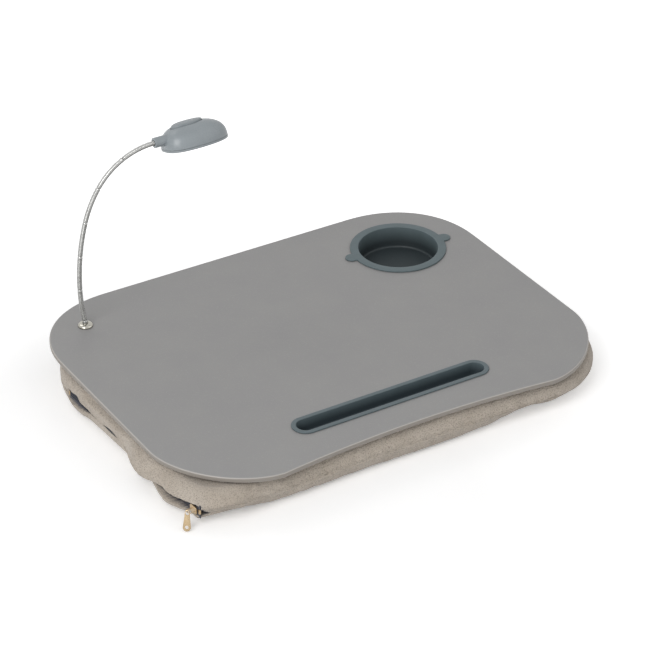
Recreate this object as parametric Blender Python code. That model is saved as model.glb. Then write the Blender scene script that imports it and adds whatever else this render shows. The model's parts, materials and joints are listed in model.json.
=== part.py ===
"""Cushioned lap desk: a thin board on a bead-filled fleece cushion, with a cup holder, a pen tray
and a small reading lamp on a bendable neck. Metres, +Z up. The origin is on the ground, under the
middle of the board, with +X to the right and -Y towards the sitter."""
import math

import bmesh
import bpy
from mathutils import Matrix, Vector

# Driving dimensions: clearances
SEAT_GAP = 0.0003
RUN_GAP = 0.0004
OVERRUN = 0.003
MERGE_DISTANCE = 0.0000001

# Driving dimensions: board
BOARD_WIDTH = 0.443
BOARD_DEPTH = 0.341
BOARD_THICKNESS = 0.005
BOARD_EDGE_ROUND = 0.0016
REAR_CORNER_WIDTH = 0.090
REAR_CORNER_DEPTH = 0.0895
FRONT_CORNER_WIDTH = 0.083
FRONT_CORNER_DEPTH = 0.0865
FRONT_DIP = 0.0087
REAR_CORNER_POWER_SHARE = 2.2
FRONT_CORNER_POWER_SHARE = 1.75

# Driving dimensions: cushion
CUSHION_HEIGHT = 0.0302
CUSHION_SIDE_OVERHANG = 0.003
CUSHION_FRONT_INSET = 0.0035
CUSHION_REAR_INSET = 0.0105
SEAM_HEIGHT = 0.016
SHOULDER_REACH = 0.022
SHOULDER_POWER_SHARE = 2.4
FOOT_CUT = 0.0005
SIDE_DRAW_IN = 0.004
FABRIC_WALL = 0.002
ZIP_CORNER_RADIUS = 0.052
ZIP_CORNER_POWER_SHARE = 2.6
FRONT_RIGHT_RADIUS = 0.085
REAR_LEFT_RADIUS = 0.105
REAR_RIGHT_RADIUS = 0.085

# Driving dimensions: hook and loop strips between board and cushion
STRIP_SPACE = 0.0028
STRIP_LENGTH = 0.080
STRIP_WIDTH = 0.020
STRIP_SIDE_OFFSET = 0.095
STRIP_FRONT_OFFSET = 0.078
STRIP_REAR_OFFSET = 0.095

# Driving dimensions: cup holder insert
CUP_FROM_SIDE = 0.0766
CUP_FROM_REAR = 0.0735
CUP_FLANGE_RADIUS = 0.046
CUP_INNER_RADIUS = 0.038
CUP_WALL = 0.0016
CUP_DRAFT = 0.0004
CUP_DEPTH = 0.0219
CUP_FLANGE_THICKNESS = 0.0015
CUP_FLANGE_ROUND = 0.0006
CUP_FLOOR_ROUND = 0.0012
EAR_RADIUS = 0.0062
EAR_REACH = 0.0545
EAR_TURN_DEG = -8.0

# Driving dimensions: pen tray
TRAY_FROM_FRONT = 0.052
TRAY_LENGTH = 0.201
TRAY_WIDTH = 0.026
TRAY_DEPTH = 0.013
TRAY_FLANGE_WIDTH = 0.0043
TRAY_FLANGE_THICKNESS = 0.0011
TRAY_FLANGE_ROUND = 0.0005
TRAY_WALL = 0.0012
TRAY_DRAFT = 0.0010
TRAY_FLOOR_ROUND = 0.0011

# Driving dimensions: lamp mounting
LAMP_FROM_SIDE = 0.0472
LAMP_FROM_REAR = 0.0430
COLLAR_RADIUS = 0.0070
COLLAR_HEIGHT = 0.0033
COLLAR_RIM = 0.0006
STUD_RADIUS = 0.0030
STUD_DROP = 0.0047
STUD_SHOULDER = 0.0009
WASHER_RADIUS = 0.0065
WASHER_THICKNESS = 0.0008
NUT_WIDTH = 0.0100
NUT_THICKNESS = 0.0026
FIRST_PIVOT_RISE = 0.0046

# Driving dimensions: bendable neck
NECK_LENGTH = 0.2040
NECK_RADIUS = 0.0024
NECK_GROOVE = 0.00035
NECK_START_LEAN_DEG = -11.0
NECK_BENDS_DEG = (10.0, 8.0, 9.0, 18.0, 28.0, 28.0)
RIBS_PER_LENGTH = 20
POCKET_GAP = 0.00045
NECK_PLUG = 0.006

# Driving dimensions: lamp head, lengths along it from the end of the neck
HEAD_ROLL_DEG = -17.0
HEAD_COLLAR_RADIUS = 0.00475
HEAD_COLLAR_LENGTH = 0.009
HEAD_LENGTH = 0.064
HEAD_HALF_WIDTH = 0.0195
HEAD_HEIGHT = 0.0215
HEAD_AXIS_HEIGHT = 0.0111
HEAD_WALL = 0.0016
HEAD_WIDEST_SHARE = 0.41
HEAD_TALLEST_SHARE = 0.47
HEAD_WIDTH_POWER_SHARES = (2.6, 2.1)
HEAD_HEIGHT_POWER_SHARES = (3.0, 2.6)
HEAD_SECTION_POWER_SHARE = 2.4
HEAD_END_SHARE = 0.006
BASE_THICKNESS = 0.0021

# Driving dimensions: power button and switch
BUTTON_FROM_REAR = 0.026
BUTTON_HALF_LENGTH = 0.0155
BUTTON_HALF_WIDTH = 0.0070
BUTTON_PROUD = 0.0016
BUTTON_FLANGE = 0.0013
BUTTON_BLOCK_HEIGHT = 0.0053
BUTTON_TRAVEL = 0.0010
STEM_RADIUS = 0.0024
SWITCH_SIDE = 0.0062
SWITCH_HEIGHT = 0.0032
PLUNGER_RADIUS = 0.0016
PLUNGER_LENGTH = 0.0024
PLUNGER_PROUD = 0.0012

# Driving dimensions: batteries and their cover
BATTERY_FROM_REAR = 0.024
CELL_RADIUS = 0.0100
CELL_THICKNESS = 0.0032
COVER_RADIUS = 0.0122
COVER_DISC = 0.0016
COVER_RECESS = 0.0001
TUBE_WALL = 0.0015
TUBE_HEIGHT = 0.0095
LUG_REACH = 0.0131
LUG_WIDTH = 0.0034
LUG_THICKNESS = 0.0006
LUG_RELEASE_DEG = 50.0
COIN_SLOT_LENGTH = 0.013
COIN_SLOT_WIDTH = 0.0016
COIN_SLOT_DEPTH = 0.0008
CONTACT_RADIUS = 0.0050
CONTACT_THICKNESS = 0.0005
CIRCUIT_RADIUS = 0.0126
CIRCUIT_THICKNESS = 0.0012

# Driving dimensions: light
LIGHT_FROM_REAR = 0.051
LENS_RADIUS = 0.0082
LENS_THICKNESS = 0.0014
LENS_LIP = 0.0006
LENS_LIP_THICKNESS = 0.0006
LIGHT_RING_WALL = 0.0016
LED_SIDE = 0.0040
LED_HEIGHT = 0.0014
LED_SPACING = 0.0070
LED_BOARD_RADIUS = 0.0098
LED_BOARD_THICKNESS = 0.0010

# Driving dimensions: shell screws
SCREW_FROM_REAR = 0.041
SCREW_OFFSET = 0.0115
SCREW_HEAD_RADIUS = 0.0021
SCREW_HEAD_HEIGHT = 0.0012
SCREW_SHANK_RADIUS = 0.0009
SCREW_LENGTH = 0.0080
BOSS_RADIUS = 0.0023
BOSS_TOP = 0.0042

# Driving dimensions: zip along the left flank
ZIP_FRONT_INSET = 0.0110
ZIP_REAR_INSET = 0.0020
ZIP_FROM_FRONT = 0.014
ZIP_FROM_REAR = 0.096
CHAIN_HEIGHT = 0.0042
CHAIN_THICKNESS = 0.0018
TAPE_HEIGHT = 0.0042
TAPE_THICKNESS = 0.0007
LIP_OPENING = 0.0148
ZIP_END_ROOM = 0.006
STOP_LENGTH = 0.0025
SLIDER_LENGTH = 0.0095
SLIDER_HEIGHT = 0.0082
SLIDER_PLATE = 0.0015
SLIDER_LIP = 0.0009
SLIDER_WIDEST_SHARE = 0.75
SLIDER_NECK_SHARE = 0.72
BAIL_LENGTH = 0.0068
BAIL_NOSE = 0.0004
BAIL_REACH = 0.0062
BAIL_BAR = 0.0008
PULL_LENGTH = 0.0166
PULL_TOP_HALF_WIDTH = 0.0023
PULL_END_HALF_WIDTH = 0.0035
PULL_THICKNESS = 0.0010
PULL_EYE_RADIUS = 0.0022
PULL_EYE_LENGTH = 0.0032
PULL_BAR = 0.0006
PULL_PLAY = 0.0006
PULL_HOLE_RADIUS = 0.0015
PULL_HEADING_DEG = -37.0
PULL_FLOOR_GAP = 0.0006

# Fineness of round stretches, in points, and the angle past which an edge stays sharp
CORNER_STEPS = 9
SIDE_STEPS = 6
SHOULDER_STEPS = 4
CUP_STEPS = 40
SMALL_STEPS = 24
SCREW_STEPS = 12
NECK_SIDES = 8
TRAY_END_STEPS = 10
SHELL_STEPS = 18
LINING_STEPS = 12
RIM_STEPS = 2
NUT_SIDES = 6
SHARP_ANGLE_DEG = 35.0

# Heights and places worked out from the driving dimensions
BOARD_BOTTOM = CUSHION_HEIGHT + STRIP_SPACE
BOARD_TOP = BOARD_BOTTOM + BOARD_THICKNESS
CUSHION_HALF_WIDTH = BOARD_WIDTH / 2 + CUSHION_SIDE_OVERHANG
CUSHION_FRONT = BOARD_DEPTH / 2 - CUSHION_FRONT_INSET
CUSHION_REAR = BOARD_DEPTH / 2 - CUSHION_REAR_INSET
CUP_X = BOARD_WIDTH / 2 - CUP_FROM_SIDE
CUP_Y = BOARD_DEPTH / 2 - CUP_FROM_REAR
TRAY_Y = TRAY_FROM_FRONT - BOARD_DEPTH / 2
LAMP_X = LAMP_FROM_SIDE - BOARD_WIDTH / 2
LAMP_Y = BOARD_DEPTH / 2 - LAMP_FROM_REAR
HEAD_UNDERSIDE = -HEAD_AXIS_HEIGHT
TUBE_TOP = HEAD_UNDERSIDE + TUBE_HEIGHT


# Colours and finishes, as sRGB hex with roughness and metallic
FINISHES = {
    "board_laminate": ("#969594", 0.45, 0.0),
    "fleece": ("#a39b90", 0.95, 0.0),
    "bag_ticking": ("#e6e2da", 0.90, 0.0),
    "holder_rubber": ("#66757a", 0.55, 0.0),
    "tray_rubber": ("#6c7b80", 0.50, 0.0),
    "hook_tape": ("#3a3a3c", 0.90, 0.0),
    "bright_nickel": ("#c9c6bd", 0.22, 1.0),
    "neck_steel": ("#bfbfbc", 0.28, 1.0),
    "lamp_plastic": ("#87908f", 0.38, 0.0),
    "button_plastic": ("#7d8686", 0.42, 0.0),
    "clear_plastic": ("#e8edf0", 0.12, 0.0),
    "circuit_green": ("#2f6b45", 0.50, 0.0),
    "led_white": ("#f0eec8", 0.35, 0.0),
    "cell_steel": ("#c4c6c8", 0.25, 1.0),
    "switch_black": ("#26282b", 0.45, 0.0),
    "zip_tape": ("#3a3d4a", 0.90, 0.0),
    "zip_teeth": ("#30323c", 0.40, 0.0),
    "brass": ("#b29b76", 0.32, 1.0),
}


def linear(value):
    """One sRGB channel from 0 to 255 as a linear value."""
    share = value / 255
    return share / 12.92 if share <= 0.04045 else ((share + 0.055) / 1.055) ** 2.4


def finish(name):
    """The Principled material for one named finish."""
    if name in bpy.data.materials:
        return bpy.data.materials[name]
    colour, roughness, metallic = FINISHES[name]
    material = bpy.data.materials.new(name)
    material.use_nodes = True
    shader = material.node_tree.nodes["Principled BSDF"]
    channels = [linear(int(colour[i:i + 2], 16)) for i in (1, 3, 5)]
    shader.inputs["Base Color"].default_value = (*channels, 1.0)
    shader.inputs["Roughness"].default_value = roughness
    shader.inputs["Metallic"].default_value = metallic
    return material


def clear_scene():
    """Start from an empty scene."""
    for old in list(bpy.data.objects):
        bpy.data.objects.remove(old, do_unlink=True)


def make_object(name, mesh_data, finish_name=None, frame=None, parent=None):
    """Turn a bmesh into an object whose own origin is the frame's; no finish means a cutter."""
    bmesh.ops.remove_doubles(mesh_data, verts=mesh_data.verts, dist=MERGE_DISTANCE)
    bmesh.ops.recalc_face_normals(mesh_data, faces=mesh_data.faces)
    mesh = bpy.data.meshes.new(name)
    mesh_data.to_mesh(mesh)
    mesh_data.free()
    piece = bpy.data.objects.new(name, mesh)
    bpy.context.collection.objects.link(piece)
    if frame is not None:
        piece.matrix_world = frame
    if parent is not None:
        piece.parent = parent
        piece.matrix_parent_inverse = parent.matrix_world.inverted()
    if finish_name is None:
        piece.hide_render = True
        piece.display_type = "WIRE"
    else:
        mesh.materials.append(finish(finish_name))
        mesh.shade_smooth()
        mesh.set_sharp_from_angle(angle=math.radians(SHARP_ANGLE_DEG))
    return piece


def make_pivot(name, place, parent=None):
    """An empty on a joint's axis, which the moving pieces hang from."""
    pivot = bpy.data.objects.new(name, None)
    bpy.context.collection.objects.link(pivot)
    pivot.matrix_world = Matrix.Translation(place)
    if parent is not None:
        pivot.parent = parent
        pivot.matrix_parent_inverse = parent.matrix_world.inverted()
    bpy.context.view_layer.update()
    return pivot


def combine(piece, other, operation="DIFFERENCE"):
    """Add an exact Boolean with a hidden cutter to a piece."""
    step = piece.modifiers.new(other.name, "BOOLEAN")
    step.object = other
    step.operation = operation
    step.solver = "EXACT"
    return piece


def loft(rings, cap_start=True, cap_end=True):
    """Bridge rings of equal length, with flat caps at the two ends."""
    shape = bmesh.new()
    rows = [[shape.verts.new(point) for point in ring] for ring in rings]
    count = len(rows[0])
    for lower, upper in zip(rows, rows[1:]):
        for i in range(count):
            j = (i + 1) % count
            shape.faces.new((lower[i], lower[j], upper[j], upper[i]))
    if cap_start:
        shape.faces.new(list(reversed(rows[0])))
    if cap_end:
        shape.faces.new(rows[-1])
    return shape


def turned(profile, steps=SMALL_STEPS):
    """Turn a profile of (radius, height) points; a zero radius closes the shape on the axis."""
    shape = bmesh.new()
    rows = []
    for radius, height in profile:
        if radius == 0:
            rows.append([shape.verts.new((0, 0, height))])
            continue
        angles = [2 * math.pi * i / steps for i in range(steps)]
        rows.append([shape.verts.new((radius * math.cos(a), radius * math.sin(a), height)) for a in angles])
    pairs = list(zip(rows, rows[1:]))
    if profile[0][0] != 0:
        pairs.append((rows[-1], rows[0]))
    for first, second in pairs:
        for i in range(steps):
            j = (i + 1) % steps
            corners = [first[i % len(first)], first[j % len(first)]]
            corners += [second[j % len(second)], second[i % len(second)]]
            unique = list(dict.fromkeys(corners))
            if len(unique) > 2:
                shape.faces.new(unique)
    return shape


def cylinder(radius, bottom, top, steps=SMALL_STEPS):
    """A plain round bar standing on the frame's origin."""
    return turned([(0, bottom), (radius, bottom), (radius, top), (0, top)], steps)


def ring_bar(inner, outer, bottom, top, steps=SMALL_STEPS):
    """A flat ring of square section."""
    return turned([(inner, bottom), (outer, bottom), (outer, top), (inner, top)], steps)


def block(low, high):
    """A box between two opposite corners."""
    corners = [(low[0], low[1]), (high[0], low[1]), (high[0], high[1]), (low[0], high[1])]
    return loft([[(x, y, z) for x, y in corners] for z in (low[2], high[2])])


def prism(outline, bottom, top):
    """A straight extrusion of a flat outline."""
    return loft([[(x, y, z) for x, y in outline] for z in (bottom, top)])


def inset_loop(outline, distance):
    """Move a counter-clockwise outline inwards, square to its own edges."""
    moved = []
    count = len(outline)
    for i, (x, y) in enumerate(outline):
        before = Vector(outline[i - 1])
        here = Vector((x, y))
        after = Vector(outline[(i + 1) % count])
        first = (here - before).normalized()
        second = (after - here).normalized()
        normals = [Vector((-edge.y, edge.x)) for edge in (first, second)]
        middle = (normals[0] + normals[1]).normalized()
        moved.append(tuple(here + middle * distance / middle.dot(normals[0])))
    return moved


def corner_curve(centre, reach, power, start_deg, steps):
    """A quarter of a superellipse, counter-clockwise from the start angle, without its last point."""
    points = []
    for i in range(steps):
        angle = math.radians(start_deg + 90 * i / steps)
        cos, sin = math.cos(angle), math.sin(angle)
        x = math.copysign(abs(cos) ** (2 / power), cos) * reach[0]
        y = math.copysign(abs(sin) ** (2 / power), sin) * reach[1]
        points.append((centre[0] + x, centre[1] + y))
    return points


def drawn_side(start, end, draw_in, steps):
    """A side from one corner to the next, pulled in at its middle, without its last point."""
    along = Vector(end) - Vector(start)
    inward = Vector((-along.y, along.x)).normalized()
    points = []
    for i in range(steps):
        share = i / steps
        points.append(tuple(Vector(start) + along * share + inward * draw_in * 4 * share * (1 - share)))
    return points


def stadium(length, width, steps=TRAY_END_STEPS):
    """A slot outline with round ends, counter-clockwise about the origin."""
    radius = width / 2
    points = []
    for side, start in ((1, -90), (-1, 90)):
        centre = side * (length / 2 - radius)
        for i in range(steps + 1):
            angle = math.radians(start + 180 * i / steps)
            points.append((centre + radius * math.cos(angle), radius * math.sin(angle)))
    return points


def board_outline():
    """The board's plan: large corners and a front edge that dips in at the sitter's waist."""
    half_width, half_depth = BOARD_WIDTH / 2, BOARD_DEPTH / 2
    bulge = half_width - FRONT_CORNER_WIDTH
    front_steps = 2 * SIDE_STEPS
    points = []
    for i in range(front_steps):
        x = bulge * (2 * i / front_steps - 1)
        points.append((x, -half_depth + FRONT_DIP * (1 - (x / bulge) ** 2)))
    corners = (
        (bulge, -half_depth + FRONT_CORNER_DEPTH, -90, FRONT_CORNER_POWER_SHARE),
        (half_width - REAR_CORNER_WIDTH, half_depth - REAR_CORNER_DEPTH, 0, REAR_CORNER_POWER_SHARE),
        (REAR_CORNER_WIDTH - half_width, half_depth - REAR_CORNER_DEPTH, 90, REAR_CORNER_POWER_SHARE),
        (-bulge, -half_depth + FRONT_CORNER_DEPTH, 180, FRONT_CORNER_POWER_SHARE),
    )
    for x, y, start, power in corners:
        reach = (half_width - abs(x), half_depth - abs(y))
        steps = CORNER_STEPS
        points += corner_curve((x, y), reach, power, start, steps)
        end = math.radians(start + 90)
        points.append((x + reach[0] * round(math.cos(end)), y + reach[1] * round(math.sin(end))))
    return points[:-1]


def rounded_slab(outline, bottom, top, edge, steps=RIM_STEPS):
    """A plate whose upper and lower rims are rounded."""
    rings = []
    for rim, side in ((bottom, 1), (top, -1)):
        shares = [i / steps for i in range(steps + 1)]
        turns = shares if side == 1 else [1 - share for share in shares]
        for share in turns:
            angle = share * math.pi / 2
            level = inset_loop(outline, edge * (1 - math.sin(angle)))
            height = rim + side * edge * (1 - math.cos(angle))
            rings.append([(x, y, height) for x, y in level])
    return loft(rings)


def cushion_outline():
    """The cushion's plan at its seam: sides pulled in between four unlike corners."""
    left, right = -CUSHION_HALF_WIDTH, CUSHION_HALF_WIDTH
    front, rear = -CUSHION_FRONT, CUSHION_REAR
    corners = (
        (right, front, -1, 1, FRONT_RIGHT_RADIUS, -90, 2),
        (right, rear, -1, -1, REAR_RIGHT_RADIUS, 0, 2),
        (left, rear, 1, -1, REAR_LEFT_RADIUS, 90, 2),
        (left, front, 1, 1, ZIP_CORNER_RADIUS, 180, ZIP_CORNER_POWER_SHARE),
    )
    arcs = []
    for x, y, side_x, side_y, radius, start, power in corners:
        centre = (x + side_x * radius, y + side_y * radius)
        arc = corner_curve(centre, (radius, radius), power, start, CORNER_STEPS)
        end = math.radians(start + 90)
        arc.append((centre[0] + radius * math.cos(end), centre[1] + radius * math.sin(end)))
        arcs.append(arc)
    points = []
    for i, arc in enumerate(arcs):
        points += arc[:-1]
        points += drawn_side(arc[-1], arcs[(i + 1) % len(arcs)][0], SIDE_DRAW_IN, SIDE_STEPS)
    return points


def shoulder_inset(height_share, reach):
    """How far in the cushion's skin lies at a share of its half height."""
    power = SHOULDER_POWER_SHARE
    return reach * (1 - (1 - height_share ** power) ** (1 / power))


def skin_rings(wall, upper, shares):
    """Rings of the cushion's skin, a wall's thickness in, from the seam to the top or the foot."""
    seam = inset_loop(cushion_outline(), wall)
    reach = SHOULDER_REACH - wall
    if upper:
        rise = CUSHION_HEIGHT - SEAM_HEIGHT - wall
    else:
        rise = -(SEAM_HEIGHT + FOOT_CUT - wall)
    rings = []
    for share in shares:
        level = inset_loop(seam, shoulder_inset(share, reach))
        rings.append([(x, y, SEAM_HEIGHT + rise * share) for x, y in level])
    return rings


def height_shares(last):
    """Shares of the half height that space the rings evenly round the shoulder."""
    shares = []
    for i in range(SHOULDER_STEPS + 1):
        angle = math.pi / 2 * i / SHOULDER_STEPS
        shares.append(min(math.sin(angle) ** (2 / SHOULDER_POWER_SHARE), 1) * last)
    return shares


def lift_seam(rings, gap):
    """Move the seam ring off the seam plane by half the gap between the two skins."""
    seam = [(x, y, z + gap) for x, y, z in rings[0]]
    return [seam] + rings[1:]


def pocket_plans():
    """What hangs below the board into the cushion: outline, place and floor height of each pocket."""
    cup = [(math.cos(a), math.sin(a)) for a in (2 * math.pi * i / CUP_STEPS for i in range(CUP_STEPS))]
    cup_radius = CUP_INNER_RADIUS + CUP_WALL + RUN_GAP
    cup_floor = BOARD_TOP + SEAT_GAP + CUP_FLANGE_THICKNESS - CUP_DEPTH - CUP_WALL - SEAT_GAP
    nut_radius = WASHER_RADIUS + RUN_GAP
    tray = inset_loop(stadium(TRAY_LENGTH, TRAY_WIDTH), TRAY_FLANGE_WIDTH - TRAY_WALL - RUN_GAP)
    tray_floor = BOARD_TOP + SEAT_GAP + TRAY_FLANGE_THICKNESS - TRAY_DEPTH - TRAY_WALL - SEAT_GAP
    return {
        "cup": ([(CUP_X + x * cup_radius, CUP_Y + y * cup_radius) for x, y in cup], cup_floor),
        "tray": ([(x, TRAY_Y + y) for x, y in tray], tray_floor),
        "nut": (
            [(LAMP_X + x * nut_radius, LAMP_Y + y * nut_radius) for x, y in cup[::2]],
            BOARD_BOTTOM - STUD_DROP - SEAT_GAP,
        ),
    }


def zip_line():
    """The zip's frame and length: its origin at the front end, +Y along the chain, -X outwards."""
    front = Vector((ZIP_FRONT_INSET - CUSHION_HALF_WIDTH, ZIP_FROM_FRONT - CUSHION_FRONT, SEAM_HEIGHT))
    rear = Vector((ZIP_REAR_INSET - CUSHION_HALF_WIDTH, CUSHION_REAR - ZIP_FROM_REAR, SEAM_HEIGHT))
    along = rear - front
    turn = Matrix.Rotation(math.atan2(-along.x, along.y), 4, "Z")
    return Matrix.Translation(front) @ turn, along.length


def zip_groove(name, half_opening, depth):
    """The cutter that opens the left flank along the zip, as deep as the inner face."""
    frame, length = zip_line()
    low = (-ZIP_FRONT_INSET - OVERRUN, -ZIP_END_ROOM, -half_opening)
    high = (depth, length + ZIP_END_ROOM, half_opening)
    return make_object(name, block(low, high), frame=frame)


def make_cushion():
    """The two fleece skins and the bead bag inside them."""
    full = height_shares(1)
    foot_share = SEAM_HEIGHT / (SEAM_HEIGHT + FOOT_CUT)
    foot = height_shares(foot_share)
    half_gap = SEAT_GAP / 2
    outer_top = lift_seam(skin_rings(0, True, full), half_gap)
    inner_top = lift_seam(skin_rings(FABRIC_WALL, True, full), half_gap)
    cover = make_object("cushion_cover", loft(list(reversed(inner_top)) + outer_top), "fleece")
    outer_foot = lift_seam(skin_rings(0, False, foot), -half_gap)
    inner_foot = lift_seam(skin_rings(FABRIC_WALL, False, full), -half_gap)
    base = make_object("cushion_base", loft(list(reversed(inner_foot)) + outer_foot), "fleece")
    inside = FABRIC_WALL + SEAT_GAP
    bag_foot = skin_rings(inside, False, full[::2])
    bag_rings = list(reversed(bag_foot)) + skin_rings(inside, True, full[::2])[1:]
    bag = make_object("bead_bag", loft(bag_rings), "bag_ticking")
    for name, (outline, floor) in pocket_plans().items():
        outside = inset_loop(outline, -FABRIC_WALL)
        lining = prism(outside, floor - FABRIC_WALL, CUSHION_HEIGHT - SEAT_GAP)
        lining = make_object(f"{name}_lining", lining)
        hollow = make_object(f"{name}_hollow", prism(outline, floor, CUSHION_HEIGHT + OVERRUN))
        room = inset_loop(outside, -SEAT_GAP)
        bag_hollow = make_object(f"{name}_room", prism(room, floor - inside, CUSHION_HEIGHT + OVERRUN))
        combine(cover, lining, "UNION")
        combine(cover, hollow)
        combine(bag, bag_hollow)
    frame, length = zip_line()
    depth = CHAIN_THICKNESS / 2 + SEAT_GAP
    lips = zip_groove("zip_lips", LIP_OPENING / 2, depth + FABRIC_WALL)
    tape_reach = CHAIN_HEIGHT / 2 + TAPE_HEIGHT + 2 * SEAT_GAP
    tape_end = STOP_LENGTH + 2 * SEAT_GAP
    rebate = block((-SEAT_GAP, -tape_end, -tape_reach), (depth, length + tape_end, tape_reach))
    rebate = make_object("tape_rebate", rebate, frame=frame)
    for skin in (cover, base):
        combine(skin, lips)
        combine(skin, rebate)
    combine(bag, zip_groove("bag_groove", tape_reach, depth))


def make_strips():
    """Hook strips under the board and loop strips on the cushion, in pairs."""
    half_length, half_width = STRIP_LENGTH / 2, STRIP_WIDTH / 2
    thickness = (STRIP_SPACE - 3 * SEAT_GAP) / 2
    places = [(x, y) for y in (-STRIP_FRONT_OFFSET, STRIP_REAR_OFFSET) for x in (-1, 1)]
    for number, (side, y) in enumerate(places, 1):
        x = side * STRIP_SIDE_OFFSET
        if y > 0 and side > 0:
            x = CUP_X - CUP_FLANGE_RADIUS - half_length - STRIP_WIDTH
        levels = {"loop": CUSHION_HEIGHT + SEAT_GAP, "hook": BOARD_BOTTOM - SEAT_GAP - thickness}
        for kind, bottom in levels.items():
            low = (x - half_length, y - half_width, bottom)
            high = (x + half_length, y + half_width, bottom + thickness)
            make_object(f"{kind}_strip_{number}", block(low, high), "hook_tape")


def make_board():
    """The board with its cup hole, tray slot and lamp hole."""
    slab = rounded_slab(board_outline(), BOARD_BOTTOM, BOARD_TOP, BOARD_EDGE_ROUND)
    board = make_object("desk_board", slab, "board_laminate")
    low, high = BOARD_BOTTOM - OVERRUN, BOARD_TOP + OVERRUN
    cup_hole = cylinder(CUP_INNER_RADIUS + CUP_WALL + RUN_GAP, low, high, CUP_STEPS)
    combine(board, make_object("cup_hole", cup_hole, frame=Matrix.Translation((CUP_X, CUP_Y, 0))))
    slot = inset_loop(stadium(TRAY_LENGTH, TRAY_WIDTH), TRAY_FLANGE_WIDTH - TRAY_WALL - RUN_GAP)
    tray_frame = Matrix.Translation((0, TRAY_Y, 0))
    combine(board, make_object("tray_hole", prism(slot, low, high), frame=tray_frame))
    lamp_hole = cylinder(STUD_RADIUS + SEAT_GAP, low, high)
    combine(board, make_object("lamp_hole", lamp_hole, frame=Matrix.Translation((LAMP_X, LAMP_Y, 0))))


def make_cup_holder():
    """The soft cup with its flat flange and the two ears that it is lifted out by."""
    seat = BOARD_TOP + SEAT_GAP
    top = seat + CUP_FLANGE_THICKNESS
    floor = top - CUP_DEPTH
    outer = CUP_INNER_RADIUS + CUP_WALL
    profile = [
        (0, floor - CUP_WALL),
        (outer - CUP_DRAFT - CUP_FLOOR_ROUND, floor - CUP_WALL),
        (outer - CUP_DRAFT, floor - CUP_WALL + CUP_FLOOR_ROUND),
        (outer, seat),
        (CUP_FLANGE_RADIUS, seat),
        (CUP_FLANGE_RADIUS, top - CUP_FLANGE_ROUND),
        (CUP_FLANGE_RADIUS - CUP_FLANGE_ROUND, top),
        (CUP_INNER_RADIUS + CUP_FLANGE_ROUND, top),
        (CUP_INNER_RADIUS, top - CUP_FLANGE_ROUND),
        (CUP_INNER_RADIUS - CUP_DRAFT, floor + CUP_FLOOR_ROUND),
        (CUP_INNER_RADIUS - CUP_DRAFT - CUP_FLOOR_ROUND, floor),
        (0, floor),
    ]
    frame = Matrix.Translation((CUP_X, CUP_Y, 0)) @ Matrix.Rotation(math.radians(EAR_TURN_DEG), 4, "Z")
    insert = make_object("cup_holder_insert", turned(profile, CUP_STEPS), "holder_rubber", frame)
    offset = EAR_REACH - EAR_RADIUS
    for side in (-1, 1):
        ear = rounded_slab([
            (side * offset + EAR_RADIUS * math.cos(a), EAR_RADIUS * math.sin(a))
            for a in (2 * math.pi * i / SMALL_STEPS for i in range(SMALL_STEPS))
        ], seat, top, CUP_FLANGE_ROUND, 1)
        combine(insert, make_object(f"ear_{side}", ear, frame=frame), "UNION")
    bore = cylinder(CUP_INNER_RADIUS - CUP_DRAFT, floor + CUP_FLOOR_ROUND, seat, CUP_STEPS)
    combine(insert, make_object("cup_clear", bore, frame=frame))


def make_pen_tray():
    """The long soft tray that drops into its slot in front of the screen."""
    outline = stadium(TRAY_LENGTH, TRAY_WIDTH)
    seat = BOARD_TOP + SEAT_GAP
    top = seat + TRAY_FLANGE_THICKNESS
    floor = top - TRAY_DEPTH
    wall = TRAY_FLANGE_WIDTH - TRAY_WALL
    levels = [
        (wall + TRAY_DRAFT + TRAY_FLOOR_ROUND, floor - TRAY_WALL),
        (wall + TRAY_DRAFT, floor - TRAY_WALL + TRAY_FLOOR_ROUND),
        (wall, seat),
        (0, seat),
        (0, top - TRAY_FLANGE_ROUND),
        (TRAY_FLANGE_ROUND, top),
        (TRAY_FLANGE_WIDTH - TRAY_FLANGE_ROUND, top),
        (TRAY_FLANGE_WIDTH, top - TRAY_FLANGE_ROUND),
        (TRAY_FLANGE_WIDTH + TRAY_DRAFT, floor + TRAY_FLOOR_ROUND),
        (TRAY_FLANGE_WIDTH + TRAY_DRAFT + TRAY_FLOOR_ROUND, floor),
    ]
    rings = [[(x, y, height) for x, y in inset_loop(outline, inset)] for inset, height in levels]
    make_object("pen_tray", loft(rings), "tray_rubber", Matrix.Translation((0, TRAY_Y, 0)))


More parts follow.
